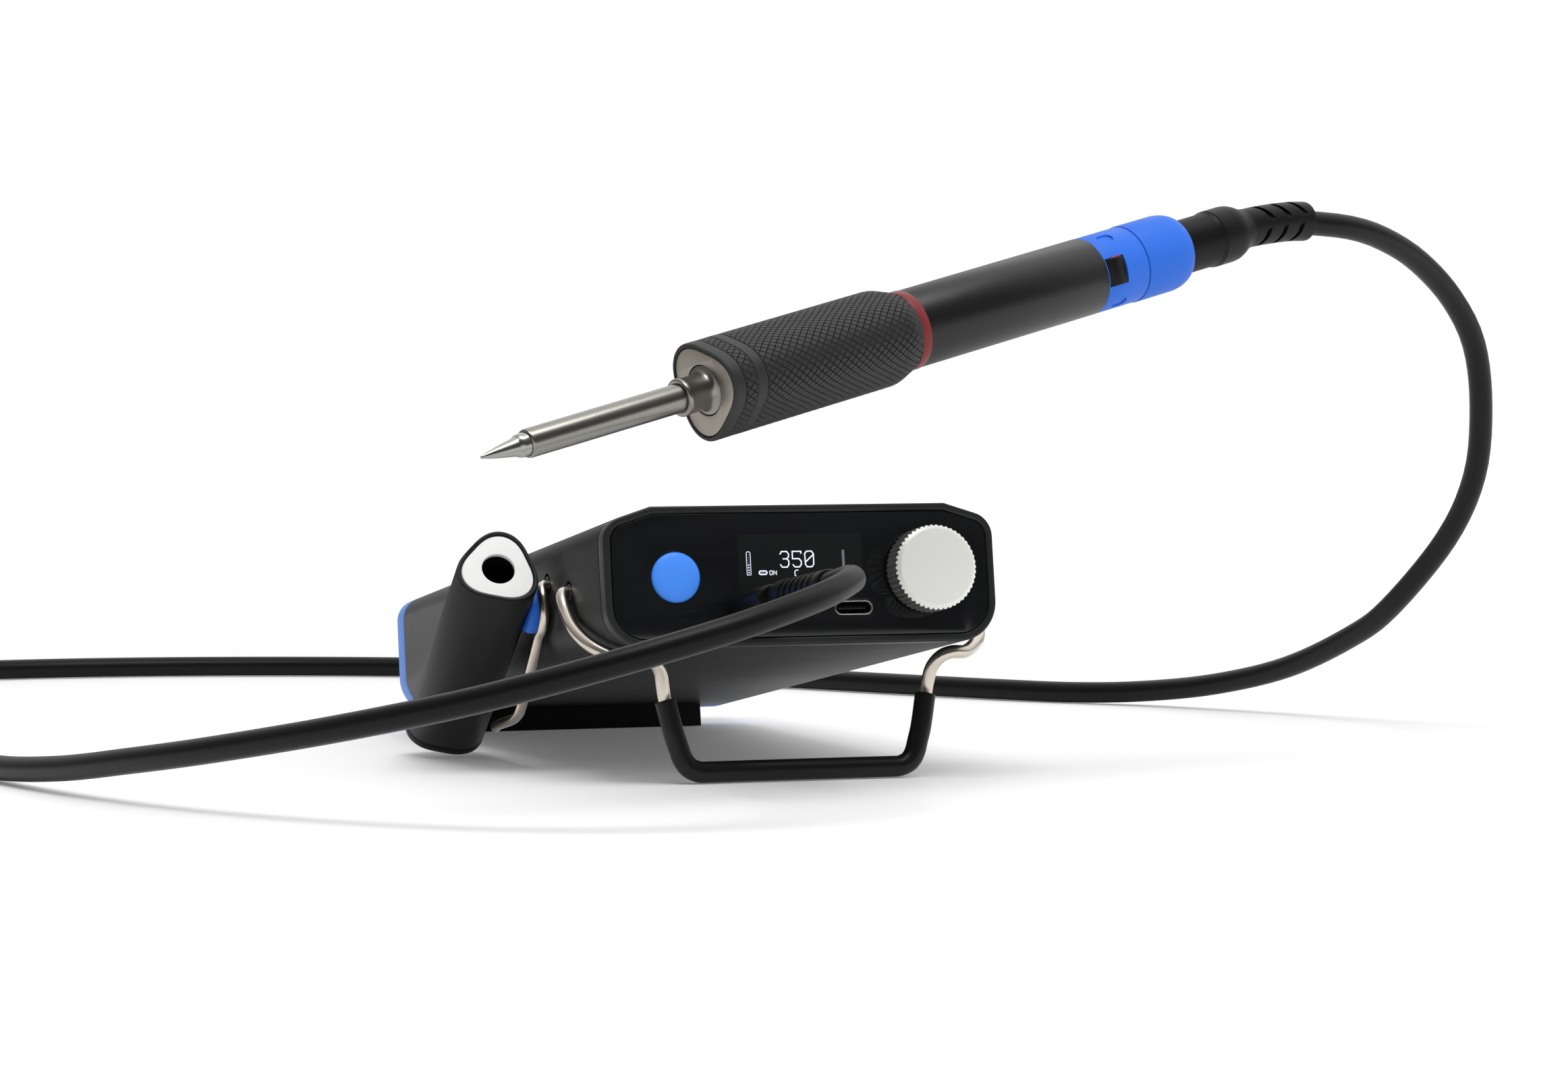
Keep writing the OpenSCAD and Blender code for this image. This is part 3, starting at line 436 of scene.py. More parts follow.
def curve_through(points, step):
    """Points about step apart on a smooth curve through the given points."""
    points = [Vector(p) for p in points]
    last = len(points) - 1
    path = []
    for i in range(last):
        a, b, c, d = points[max(0, i - 1)], points[i], points[i + 1], points[min(last, i + 2)]
        parts = max(1, round((c - b).length / step))
        for j in range(parts):
            t = j / parts
            path.append(0.5 * (2 * b + (c - a) * t + (2 * a - 5 * b + 4 * c - d) * t * t
                               + (3 * b - a - 3 * c + d) * t ** 3))
    return path + [points[last]]


def line_curve(name, path, radius, sides=6, caps=True):
    """A round tube along a path, as a curve."""
    leave_edit()
    bpy.ops.curve.primitive_nurbs_path_add(location=(0, 0, 0))
    tube = bpy.context.object
    tube.name = name
    tube.data.splines.clear()
    line = tube.data.splines.new("POLY")
    line.points.add(len(path) - 1)
    for place, point in zip(line.points, path):
        place.co = (*point, 1)
    tube.data.bevel_depth = radius
    tube.data.bevel_resolution = sides
    tube.data.use_fill_caps = caps
    return tube


def bent_rod(name, points, radius, step=1.5, sides=6):
    """A wire or sleeve bent through the points, as a mesh."""
    rod = line_curve(name, curve_through(points, step), radius, sides)
    take(rod)
    bpy.ops.object.convert(target="MESH")
    rod = bpy.context.object
    tidy_skin(rod)
    return rod


def fit(piece, place, body, material, stands_for=(), angle=32):
    """Puts a finished piece in place, gives it its finish and ties it to its CAD body."""
    take(piece)
    bpy.ops.object.transform_apply(location=True, rotation=True, scale=True)
    piece.data.transform(place)
    if place.determinant() < 0:
        edit(piece)
        bpy.ops.mesh.flip_normals()
        leave_edit()
        take(piece)
    bpy.ops.object.shade_smooth_by_angle(angle=math.radians(angle))
    piece.data.materials.clear()
    piece.data.materials.append(material)
    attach(piece, body)
    if stands_for:
        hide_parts(*stands_for)
    return piece


# ---------------------------------------------------------------- cord
CORD_RADIUS = 2.8
RELIEF_END = 234
PLUG_LENGTH = 20
STATION_RELIEF = 30
PORT_X, PORT_Z = 11.7, 7.95


def iron_point(along, drop):
    """A point on the iron's axis, let down by drop, in millimetres on the bench."""
    return SCALE.inverted() @ IRON @ Vector((0, 0, along)) - Vector((0, 0, drop))


CORD_START = iron_point(RELIEF_END - 1, 2.4)
CORD_END = SCALE.inverted() @ STATION @ Vector((-PORT_X, -0.3 - PLUG_LENGTH - STATION_RELIEF, PORT_Z))
BENCH_RUN = [
    (151, 38), (137, 56), (116, 92), (92, 134), (58, 176), (2, 217), (-54, 239), (-104, 243), (-142, 231),
    (-165, 203), (-177, 160), (-181, 100), (-180, 30), (-176, -40), (-168, -99)]
CORD_ROUTE = [
    CORD_START, (138, -156, 123), (150, -150, 120.5), (163, -142, 115.5), (176.3, -133, 107),
    (186.4, -125, 96), (193, -116, 81), (197, -105, 64), (197, -90, 48), (193, -67, 30), (190, -50, 21.5),
    (184, -25, 12.5), (175, 0, 6.8), (164, 22, CORD_RADIUS + 1),
    *[(x, y, CORD_RADIUS) for x, y in BENCH_RUN],
    (-160, -137, 5), (-150, -170, 9), (-138, -198, 13.2), (-120, -228, 19), (-99, -252, 25.5),
    (-75, -267, 33), (-50, -270, 40), (-30, -261, 45), (-18, -247, 47.6), (-13, -232, 47.4), CORD_END]
cord_path = [Vector(p) * MM for p in curve_through(CORD_ROUTE, 4)]
cord = line_curve("power_cord", cord_path, CORD_RADIUS * MM, sides=8)
cord.data.materials.append(cord_black)
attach(cord, "station_and_iron")
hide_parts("cord")

# ---------------------------------------------------------------- outlines
WIDTH, HEIGHT, LENGTH, FRAME_LENGTH = 91, 31, 178, 6.5
RIM, PANEL_INSET, PANEL_BACK, BEZEL_LENGTH, REAR_SHELF, REAR_LIP = 1.7, 0.25, 1.85, 4, 3, 6.5
CHAMFER_SLOPE, CHAMFER_WIDTH, TOP_CORNER, LOW_CORNER, LEAST_CORNER = 17.6, 11.2, 5.5, 9, 0.6
SEAM, WALL, WIRE_HOLE, SHAFT_HOLE = 0.06, 2.2, 2.0, 4.55
BUTTON_X, BUTTON_Z, BUTTON_RADIUS = -29.2, 15.3, 5.55
KNOB_X, KNOB_Z, KNOB_RADIUS, KNOB_HEIGHT, KNOB_GAP = 28.8, 15.8, 9.5, 7.1, 0.9
KNOB_BEVEL, TEETH, TOOTH_DEPTH, TOOTH_POINTS = 1, 50, 0.42, 8
SHAFT_BORE, HUB_BORE = 3.01, 4.9
PORT_WIDTH, PORT_HEIGHT, PORT_WALL = 8.94, 3.26, 0.32
PLUG_WIDTH, PLUG_HEIGHT = 12.2, 7


def arc(x, y, radius, start, end, steps):
    angles = [math.radians(start + (end - start) * i / steps) for i in range(steps + 1)]
    return [(x + radius * math.cos(angle), y + radius * math.sin(angle)) for angle in angles]


def body_outline(inset):
    """The station's section, drawn in by inset all round."""
    slope = math.radians(CHAMFER_SLOPE)
    side, top = WIDTH / 2 - inset, HEIGHT - inset
    flat = WIDTH / 2 - CHAMFER_WIDTH - inset * math.tan(slope / 2)
    high, low = (max(LEAST_CORNER, corner - inset) for corner in (TOP_CORNER, LOW_CORNER))
    x = side - high
    z = top + ((flat - x) * math.sin(slope) - high) / math.cos(slope)
    low_corner = arc(side - low, inset + low, low, -90, 0, 18)
    high_corner = arc(x, z, high, 0, 90 - CHAMFER_SLOPE, 12)
    half = low_corner + high_corner + [(flat, top)]
    return half + [(-x, z) for x, z in reversed(half)]


def oblong(width, height, x=0, y=0, steps=10):
    """A slot's outline, round at both ends."""
    reach, radius = (width - height) / 2, height / 2
    return arc(x + reach, y, radius, -90, 90, steps) + arc(x - reach, y, radius, 90, 270, steps)


def section(angle, radius, bulge, phase=0):
    """Distance from the axis of a rounded three-sided section at an angle in radians."""
    return radius + bulge * math.cos(3 * (angle - math.radians(phase)))


def lofted(name, rows, phase=0, sides=96, closed=False):
    """Three-sided sections skinned along Z. Each row is (height, mean radius, corner bulge)."""
    leave_edit()
    bpy.ops.mesh.primitive_circle_add(vertices=sides, radius=rows[0][1])
    piece = bpy.context.object
    piece.name = name
    count = 0
    for height, radius, bulge in rows + (rows[:1] if closed else []):
        if count:
            newest = len(piece.data.vertices) - sides
            pick_corners(piece, lambda corner: corner.index >= newest)
            bpy.ops.mesh.extrude_region_move()
            stop_edit()
        for corner in piece.data.vertices[-sides:]:
            angle = math.atan2(corner.co.y, corner.co.x)
            reach = section(angle, radius, bulge, phase)
            corner.co = (reach * math.cos(angle), reach * math.sin(angle), height)
        count += 1
    if not closed:
        for first in (0, len(piece.data.vertices) - sides):
            pick_corners(piece, lambda corner: first <= corner.index < first + sides)
            bpy.ops.mesh.edge_face_add()
            stop_edit()
    tidy_skin(piece)
    return piece


# ---------------------------------------------------------------- station shells
FRONT = STATION @ FACING
STAND_Y, STAND_Z, BRACKET_Y, BRACKET_Z = 27.5, 15.1, 44, 18.6
station = "station_and_iron"

housing = sleeve("housing_shell", body_outline(0), -(LENGTH - FRAME_LENGTH), -BEZEL_LENGTH - SEAM, WALL)
bevel(housing, 0.25, 2, 50)
PIVOTS = [(WIDTH / 2, STAND_Y, STAND_Z), (-WIDTH / 2, STAND_Y, STAND_Z), (-WIDTH / 2, BRACKET_Y, BRACKET_Z)]
for x, y, z in PIVOTS:
    leave_edit()
    bpy.ops.mesh.primitive_cylinder_add(vertices=48, radius=WIRE_HOLE, depth=12)
    drill = bpy.context.object
    drill.data.transform(shift(x, z, -y) @ turn(90, "Y"))
    cut(housing, drill)
fit(housing, FRONT, station, housing_black, ["housing"], 30)

bezel = sleeve("front_bezel_rim", body_outline(0), -BEZEL_LENGTH, 0, RIM)
bevel(bezel, 0.55, 5, 50)
fit(bezel, FRONT, station, bezel_black, ["front_bezel"], 50)

panel = raised("front_panel_plate", body_outline(RIM + 0.16), -PANEL_BACK, -PANEL_INSET)
bored(panel, BUTTON_RADIUS + 0.15, BUTTON_X, BUTTON_Z, -4, 1, 96)
bored(panel, SHAFT_HOLE, KNOB_X, KNOB_Z, -4, 1, 64)
for side in (-1, 1):
    cut(panel, raised("port_cut", oblong(PORT_WIDTH + 0.3, PORT_HEIGHT + 0.3, side * PORT_X, PORT_Z), -4, 1))
bevel(panel, 0.1, 3, 40)
fit(panel, FRONT, station, panel_black, ["front_panel"], 40)

frame_rim = raised("rear_frame_rim", body_outline(0), -LENGTH, -(LENGTH - FRAME_LENGTH) - SEAM)
cut(frame_rim, raised("rear_window", body_outline(RIM), -LENGTH - 1, -LENGTH + REAR_SHELF))
cut(frame_rim, raised("rear_way", body_outline(REAR_LIP), -LENGTH, -LENGTH + 20))
bevel(frame_rim, 0.6, 4, 50)
fit(frame_rim, FRONT, station, frame_blue, ["rear_frame"], 50)

# ---------------------------------------------------------------- display
SCREEN = -PANEL_INSET + 0.015
LIT = (SCREEN - 0.01, SCREEN + 0.012)
window = raised("display_window", [(-14.7, 11.9), (14.3, 11.9), (14.3, 24.5), (-14.7, 24.5)],
    -PANEL_INSET - 0.05, SCREEN)
fit(window, FRONT, station, screen_glass)


def stroke(points, width):
    """A lit line of the display: a flat band along the points, mitred at each corner."""
    line = [Vector(p) for p in points]
    loop = line[0] == line[-1]
    sides = []
    for i, at in enumerate(line):
        before = at - line[i - 1] if i else (line[0] - line[-2] if loop else line[1] - at)
        after = line[i + 1] - at if i + 1 < len(line) else (line[1] - line[0] if loop else before)
        across = (before.normalized() + after.normalized()).normalized()
        reach = width / 2 / max(0.4, across.dot(before.normalized()))
        across = Vector((-across.y, across.x)) * reach
        sides.append((tuple(at + across), tuple(at - across)))
    bands = [raised("stroke", [a, b, d, c], *LIT) for (a, b), (c, d) in zip(sides, sides[1:])]
    return join(*bands)


def lit(name, lines, width, material=None):
    strokes = [stroke(line, width) for line in lines]
    fit(join(strokes[0], *strokes[1:]), FRONT, station, material or digits_lit).name = name


def placed(lines, x, y, wide, tall):
    """Lines drawn in a unit box, placed with their lower left corner at x, y."""
    return [[(x + a * wide, y + b * tall) for a, b in line] for line in lines]


THREE = [[(0, 0.82), (0.2, 1), (0.8, 1), (1, 0.84), (1, 0.66), (0.78, 0.53), (0.3, 0.53)],
         [(0.78, 0.53), (1, 0.4), (1, 0.16), (0.8, 0), (0.2, 0), (0, 0.18)]]
FIVE = [[(1, 0.84), (1, 1), (0, 1), (0, 0.53), (0.74, 0.53), (1, 0.38), (1, 0.16), (0.78, 0), (0.24, 0),
         (0, 0.17)]]
NOUGHT = [[(0.02, 0.18), (0, 0.86), (0.22, 1), (0.78, 1), (1, 0.84), (1, 0.16), (0.78, 0), (0.22, 0),
           (0.02, 0.18)], [(0.05, 0.3), (0.98, 0.78)]]
for name, shape, left in (("digit_3", THREE, -4.95), ("digit_5", FIVE, -2.05), ("digit_0", NOUGHT, 0.85)):
    lit(name, placed(shape, left, 17.15, 2.0, 3.45), 0.27)
lit("letter_c", placed([[(1, 1), (0.35, 1), (0, 0.8), (0, 0.2), (0.35, 0), (1, 0)]], -1.65, 15.05, 0.85, 1.4),
    0.2)
lit("word_on", placed([[(0, 0.2), (0, 0.8), (0.25, 1), (0.7, 1), (0.95, 0.8), (0.95, 0.2), (0.7, 0),
                (0.25, 0), (0, 0.2)], [(1.5, 0), (1.5, 1), (2.5, 0.05), (2.5, 1)]], -7.5, 15.5, 0.62, 0.9),
    0.17)
lit("battery_outline", [[(-12.75, 15.55), (-12.75, 20.35), (-12.55, 20.65), (-12.05, 20.65), (-11.85, 20.35),
                         (-11.85, 15.55), (-12.75, 15.55)]], 0.14)
lit("load_bar", [[(9.82, 16.4), (9.82, 20.8)]], 0.6, digits_dim)
lit("load_box", [[(5.5, 15.5), (5.5, 16.2), (5.7, 16.35), (7.1, 16.35), (7.25, 16.2), (7.25, 15.5)]], 0.16,
    digits_dim)
pill = raised("heater_pill", oblong(2.1, 1.05, -9.05, 16.0), *LIT)
fit(pill, FRONT, station, digits_lit)
pill_core = raised("heater_pill_core", oblong(1.5, 0.5, -9.05, 16.0), SCREEN, SCREEN + 0.02)
fit(pill_core, FRONT, station, digits_dim)
for level in range(8):
    full = level < 4
    wide, tall = (0.34, 0.33) if full else (0.26, 0.25)
    dot = raised("battery_dot_%d" % (level + 1), oblong(wide, tall, -12.3, 16.05 + level * 0.56, 6), *LIT)
    fit(dot, FRONT, station, digits_lit if full else digits_dim)

# ---------------------------------------------------------------- button and knob
button = turned("power_button_cap", [(0, 1), (1.6, 0.97), (3.2, 0.83), (4.4, 0.58), (5.05, 0.32),
        (5.35, 0.08), (BUTTON_RADIUS, -0.3), (BUTTON_RADIUS, -2), (6.5, -2), (6.5, -3), (0, -3)], 128)
fit(button, facing(BUTTON_X, BUTTON_Z), "button", button_blue, ["power_button"], 40)

teeth = []
for i in range(TEETH * TOOTH_POINTS):
    angle = 2 * math.pi * i / (TEETH * TOOTH_POINTS)
    reach = KNOB_RADIUS - TOOTH_DEPTH * (1 - abs(math.cos(angle * TEETH / 2)))
    teeth.append((reach * math.cos(angle), reach * math.sin(angle)))
top = KNOB_GAP + KNOB_HEIGHT
knob = raised("knob_body", teeth, KNOB_GAP, top + 1)
KNOB_PROFILE = [
    (0, KNOB_GAP - 1), (KNOB_RADIUS - 0.4, KNOB_GAP - 1), (KNOB_RADIUS - 0.4, KNOB_GAP),
    (KNOB_RADIUS + 0.1, KNOB_GAP + 0.5), (KNOB_RADIUS + 0.1, top - KNOB_BEVEL - 0.1),
    (KNOB_RADIUS - KNOB_BEVEL + 0.08, top - 0.08), (KNOB_RADIUS - KNOB_BEVEL - 0.02, top - 0.015),
    (KNOB_RADIUS - KNOB_BEVEL - 0.12, top), (0, top)]
cut(knob, turned("knob_turning", KNOB_PROFILE, 200), "INTERSECT")
bored(knob, SHAFT_BORE, 0, 0, 0, 6.4, 48)
bored(knob, HUB_BORE, 0, 0, 0, 2.7, 48)
fit(knob, facing(KNOB_X, KNOB_Z), "knob", knob_metal, ["knob"], 28)
# faces that turn away from the knob's axis, the ridged sides, get the darker copy as painted shade
knob.data.materials.append(shaded_knob_side)
OUTWARD = (FRONT.to_3x3() @ Vector((0, 0, 1))).normalized()
for flat in knob.data.polygons:
    flat.material_index = int(abs(flat.normal.dot(OUTWARD)) < 0.3)

# ---------------------------------------------------------------- ports and plugs
for name, side, cad in (("left", -1, "usb_socket_left"), ("right", 1, "usb_socket_right")):
    shell = sleeve("usb_shell_" + name, oblong(PORT_WIDTH, PORT_HEIGHT), -10, -PANEL_INSET + 0.06, PORT_WALL)
    bevel(shell, 0.08, 2, 40)
    fit(shell, facing(side * PORT_X, PORT_Z), station, port_metal, [cad], 40)
    back = raised("usb_back_" + name, oblong(PORT_WIDTH - 0.7, PORT_HEIGHT - 0.7), -9.8, -8.6)
    tongue = block("tongue", 6.7, 0.7, 8, (0, 0, -5.4))
    bevel(tongue, 0.12, 2, 40)
    fit(join(back, tongue), facing(side * PORT_X, PORT_Z), station, port_black, (), 40)

plug = raised("station_plug_body", oblong(PLUG_WIDTH, PLUG_HEIGHT), 0.3, 0.3 + PLUG_LENGTH)
bevel(plug, 0.9, 4, 40)
nose = raised("nose", oblong(8.2, 2.4), -6, 0.6)
fit(join(plug, nose), facing(-PORT_X, PORT_Z), station, plug_black, ["station_plug"], 40)
ribs = [(0, 0.3 + PLUG_LENGTH - 1), (3.6, 0.3 + PLUG_LENGTH - 1), (4.15, 0.9 + PLUG_LENGTH),
        (4.2, 6.2 + PLUG_LENGTH)]
for rib in range(6):
    start = PLUG_LENGTH + 7.4 + 3.5 * rib
    outer = 4.15 - 0.1 * rib
    ribs += [(outer, start), (outer - 0.75, start + 0.35), (outer - 0.8, start + 0.95),
             (outer - 0.1, start + 1.3)]
ribs_end = PLUG_LENGTH + STATION_RELIEF
ribs += [(3.5, ribs_end - 0.4), (3.2, ribs_end + 0.1), (0, ribs_end + 0.1)]
relief = turned("station_relief_ribs", ribs, 64)
fit(relief, facing(-PORT_X, PORT_Z), station, plug_black, ["station_relief"], 30)

# ---------------------------------------------------------------- wire stand
WIRE_RADIUS, SLEEVE_RADIUS = 1.5, 2.35
WIRE_X = WIDTH / 2 + WIRE_RADIUS + 0.5
UNDER = -WIRE_RADIUS - 0.3
BAR_Y = 8
BAR_Z = (SLEEVE_RADIUS - LIFT + BAR_Y * math.sin(math.radians(TILT))) / math.cos(math.radians(TILT))
STAND_SIDE = [(WIRE_X - 8, STAND_Y, STAND_Z), (WIRE_X - 2.2, STAND_Y, STAND_Z),
    (WIRE_X - 0.6, STAND_Y - 0.3, STAND_Z - 0.3), (WIRE_X, STAND_Y - 1.6, STAND_Z - 1.9),
    (WIRE_X, STAND_Y - 4.1, STAND_Z - 5), (WIRE_X - 0.1, 18.3, 6), (WIRE_X - 1.5, 13.2, 2.4),
    (WIRE_X - 4.1, 9.7, 0), (WIRE_X - 7.6, 6.6, UNDER), (WIRE_X - 11.4, 4.8, UNDER - 0.2),
    (WIRE_X - 14, 5, UNDER - 1.1), (WIRE_X - 15.7, 6.4, UNDER - 3.2), (WIRE_X - 16.4, 7.6, UNDER - 6)]
STAND_LEG = [(WIRE_X - 17, 8.2, -11), (WIRE_X - 18.5, BAR_Y, -18), (WIRE_X - 19.5, BAR_Y, BAR_Z + 5.6),
    (WIRE_X - 20.3, BAR_Y, BAR_Z + 3.1), (WIRE_X - 21.7, BAR_Y, BAR_Z + 1.1),
    (WIRE_X - 23.9, BAR_Y, BAR_Z + 0.1), (WIRE_X - 26.4, BAR_Y, BAR_Z), (10, BAR_Y, BAR_Z)]


def mirrored(points):
    return [(-x, y, z) for x, y, z in reversed(points)]


half = STAND_SIDE + STAND_LEG
stand = bent_rod("stand_wire", half + mirrored(half), WIRE_RADIUS, 0.9, 7)
fit(stand, STATION, "front_stand", wire_metal, ["wire_stand"], 60)
rubber = bent_rod("stand_rubber", STAND_LEG + mirrored(STAND_LEG), SLEEVE_RADIUS, 0.8, 8)
bevel(rubber, 0.35, 3, 60)
fit(rubber, STATION, "front_stand", rubber_black, ["stand_sleeve"], 60)

# ---------------------------------------------------------------- side bracket and cap
ARM_RADIUS = 1.2
BX = WIDTH / 2 + ARM_RADIUS + 0.5
arm = bent_rod("bracket_arm", [
    (-BX + 8, BRACKET_Y, BRACKET_Z), (-BX + 2, BRACKET_Y, BRACKET_Z),
    (-BX + 0.5, BRACKET_Y - 0.3, BRACKET_Z - 0.4), (-BX, BRACKET_Y - 1.7, BRACKET_Z - 2.2),
    (-BX, BRACKET_Y - 2.5, BRACKET_Z - 4.9), (-BX, BRACKET_Y - 2.2, BRACKET_Z - 7.7),
    (-BX, BRACKET_Y - 0.5, BRACKET_Z - 9.9), (-BX, BRACKET_Y + 2.6, BRACKET_Z - 11.4), (-BX, 50.6, 3.8),
    (-BX, 55.7, -0.6), (-BX, 63.8, -7.6), (-BX, 67.5, -9.1), (-BX, 72, -9.7), (-BX, 82.6, -9.9),
    (-BX, 86, -10.3)], ARM_RADIUS, 0.9, 7)
fit(arm, STATION, "side_bracket", wire_metal, ["bracket_wire"], 60)

CAP_LENGTH, CAP_RADIUS, CAP_BORE, CAP_ROLL = 72.6, 9, 3.75, 76
BULGE = CAP_RADIUS * 0.1
shell = lofted("cap_shell_wall", [
    (3.56, CAP_RADIUS - 0.1, BULGE), (3.75, CAP_RADIUS, BULGE), (40, CAP_RADIUS, BULGE),
    (CAP_LENGTH - 0.45, CAP_RADIUS, BULGE), (CAP_LENGTH - 0.13, CAP_RADIUS - 0.13, BULGE),
    (CAP_LENGTH, CAP_RADIUS - 0.42, BULGE * 0.97), (CAP_LENGTH - 0.08, CAP_RADIUS - 0.78, BULGE * 0.92),
    (CAP_LENGTH - 0.4, CAP_RADIUS - 1, BULGE * 0.9), (40, CAP_RADIUS - 1, BULGE * 0.9),
    (3.56, CAP_RADIUS - 1, BULGE * 0.9)], CAP_ROLL, closed=True)
fit(shell, CAP, "tip_cap", cap_black, ["cap_shell"], 40)
end = lofted("cap_foot", [(0, CAP_RADIUS - 1.4, BULGE * 0.8), (0.12, CAP_RADIUS - 0.9, BULGE * 0.85),
        (0.5, CAP_RADIUS - 0.38, BULGE * 0.93), (1.1, CAP_RADIUS - 0.08, BULGE), (1.6, CAP_RADIUS, BULGE),
        (3.3, CAP_RADIUS, BULGE), (3.5, CAP_RADIUS - 0.12, BULGE), (3.52, CAP_RADIUS - 1.2, BULGE * 0.9),
        (8, CAP_RADIUS - 1.2, BULGE * 0.9)], CAP_ROLL)
fit(end, CAP, "tip_cap", cap_black, ["cap_end"], 40)
face = lofted("cap_white_face", [
    (CAP_LENGTH - 1.2, CAP_RADIUS - 1.15, BULGE * 0.9), (CAP_LENGTH - 0.5, CAP_RADIUS - 1.15, BULGE * 0.9),
    (CAP_LENGTH - 0.3, CAP_RADIUS - 1.3, BULGE * 0.88)], CAP_ROLL)
bored(face, CAP_BORE, 0, 0, 60, 80, 96)
pick_corners(face,
    lambda corner: abs(corner.co.xy.length - CAP_BORE) < 0.05 and corner.co.z > CAP_LENGTH - 0.4)
bpy.ops.mesh.select_mode(type="EDGE")
bpy.ops.mesh.bevel(offset=0.22, segments=4, affect="EDGES")
stop_edit()
fit(face, CAP, "tip_cap", cap_white, ["cap_face"], 40)

# ---------------------------------------------------------------- iron: tip and sleeve
cone = turned("tip_point", [
    (0, 0), (0.2, 0.05), (0.34, 0.25), (0.42, 0.6), (0.9, 2.6), (1.35, 5), (1.78, 7.6), (1.98, 8.7),
    (2.05, 8.95), (2.28, 9.2), (2.42, 9.6), (2.5, 10.1), (2.5, 18), (0, 18)])
fit(cone, IRON, "tip_cartridge", tip_metal, ["tip_cone"], 40)
shank = turned("tip_barrel", [
    (2.53, 11.5), (2.62, 11.3), (2.78, 11.32), (2.97, 11.5), (3.05, 11.85), (3.05, 70), (0, 70), (0, 19),
    (2.53, 19)])
fit(shank, IRON, "tip_cartridge", shank_metal, ["tip_shank"], 40)
holder = turned("tip_holder", [
    (3.12, 51.0), (3.2, 50.82), (3.7, 50.8), (3.95, 50.9), (4.06, 51.1), (4.08, 51.85), (3.98, 52.05),
    (3.9, 52.2), (3.9, 55.8), (3.98, 56.6), (4.2, 57.2), (4.6, 57.6), (5.1, 57.75), (5.22, 57.8),
    (5.3, 57.92), (5.3, 60), (6.2, 60), (6.2, 67), (3.12, 67)])
fit(holder, IRON, station, shank_metal, ["tip_sleeve"], 40)
GRIP = 10.25
plate = lofted("face_plate_disc", [
    (57.7, GRIP - 1.3, GRIP * 0.088), (57.78, GRIP - 1.16, GRIP * 0.09), (57.95, GRIP - 1.1, GRIP * 0.09),
    (59.3, GRIP - 1.1, GRIP * 0.09)])
bored(plate, 5.5, 0, 0, 55, 62, 96)
bevel(plate, 0.08, 2, 60)
fit(plate, IRON, station, plate_metal, ["face_plate"], 40)

# ---------------------------------------------------------------- iron: grip
STARTS, ROW, GROOVE, LAND = 38, 1.035, 0.24, 0.15
RING, GRIP_BORE = 110.8, 7.5
SHOULDER = [(57.5, 10.25, 1.025), (107.2, 10.25, 1.025), (108.2, 10.05, 0.92), (109.3, 9.65, 0.67),
            (110.2, 9.2, 0.36), (111, 8.8, 0.1)]


def grip_reach(height, angle):
    """Distance of the grip's surface from the axis."""
    for (z0, r0, b0), (z1, r1, b1) in zip(SHOULDER, SHOULDER[1:]):
        if height <= z1:
            t = (height - z0) / (z1 - z0)
            return section(angle, r0 + (r1 - r0) * t, b0 + (b1 - b0) * t)
    return section(angle, r1, b1)


def knurl(name, low, high):
    """Flat-topped diamonds between crossing grooves, on the grip's surface from low to high."""
    rows = round((high - low) / ROW)
    pitch = (high - low) / rows
    corners, faces = [], []
    for row in range(rows + 1):
        for i in range(STARTS):
            angle = 2 * math.pi * (i + 0.5 * (row % 2)) / STARTS
            height = low + row * pitch
            reach = grip_reach(height, angle) - GROOVE
            corners.append((reach * math.cos(angle), reach * math.sin(angle), height))
    for row in range(rows):
        for i in range(STARTS):
            ahead = (i + 1) % STARTS
            base, top = row * STARTS, (row + 1) * STARTS
            left, right = (i, ahead) if row % 2 else (i - 1, i)
            upper = base + 2 * STARTS + i
            if row + 1 < rows:
                faces.append((base + i, top + (right % STARTS), upper, top + (left % STARTS)))
            if row == 0:
                faces.append((base + i, base + ahead, top + i))
            if row + 1 == rows:
                faces.append((top + i, base + ahead, top + ahead))
    mesh = bpy.data.meshes.new(name)
    mesh.from_pydata(corners, [], faces)
    piece = bpy.data.objects.new(name, mesh)
    scene.collection.objects.link(piece)
    tidy_skin(piece)
    edit(piece)
    bpy.ops.mesh.inset(thickness=LAND, depth=0.22, use_individual=True)
    stop_edit()
    return piece


smooth = lofted("grip_rubber", [
    (57.8, GRIP - 0.95, GRIP * 0.09), (57.55, GRIP - 0.8, GRIP * 0.092), (57.5, GRIP - 0.6, GRIP * 0.094),
    (57.62, GRIP - 0.25, 1), (57.95, GRIP - 0.04, 1.02), (58.4, GRIP, 1.025), (60.3, GRIP, 1.025),
    (60.55, GRIP - 0.24, 1.025), (63.7, GRIP - 0.24, 1.025), (63.95, GRIP, 1.025), (66.1, GRIP, 1.025),
    (66.3, GRIP - 0.1, 1.025), (66.45, GRIP - 0.3, 1.025), (107.2, GRIP - 0.26, 1.025), (108.2, 9.79, 0.92),
    (109.3, 9.39, 0.67), (110.2, 8.94, 0.36), (RING - 0.06, 8.62, 0.12), (RING - 0.06, GRIP_BORE, 0),
    (60, GRIP_BORE, 0), (59.5, GRIP - 0.95, GRIP * 0.09)], closed=True)
grip = join(smooth, knurl("short", 60.5, 63.75), knurl("long", 66.4, RING - 0.1))
grip.name = "grip_rubber"
fit(grip, IRON, station, grip_black, ["grip"], 25)

# ---------------------------------------------------------------- iron: handle
TUBE, TUBE_END, COLLAR_END, LOCK_END, LATCH_TURN = 8.6, 165.2, 177.4, 192.7, 8
BAND_BORE, TUBE_BORE, COLLAR_BORE, LOCK_BORE = 7.45, 6.4, 6.35, 6.2


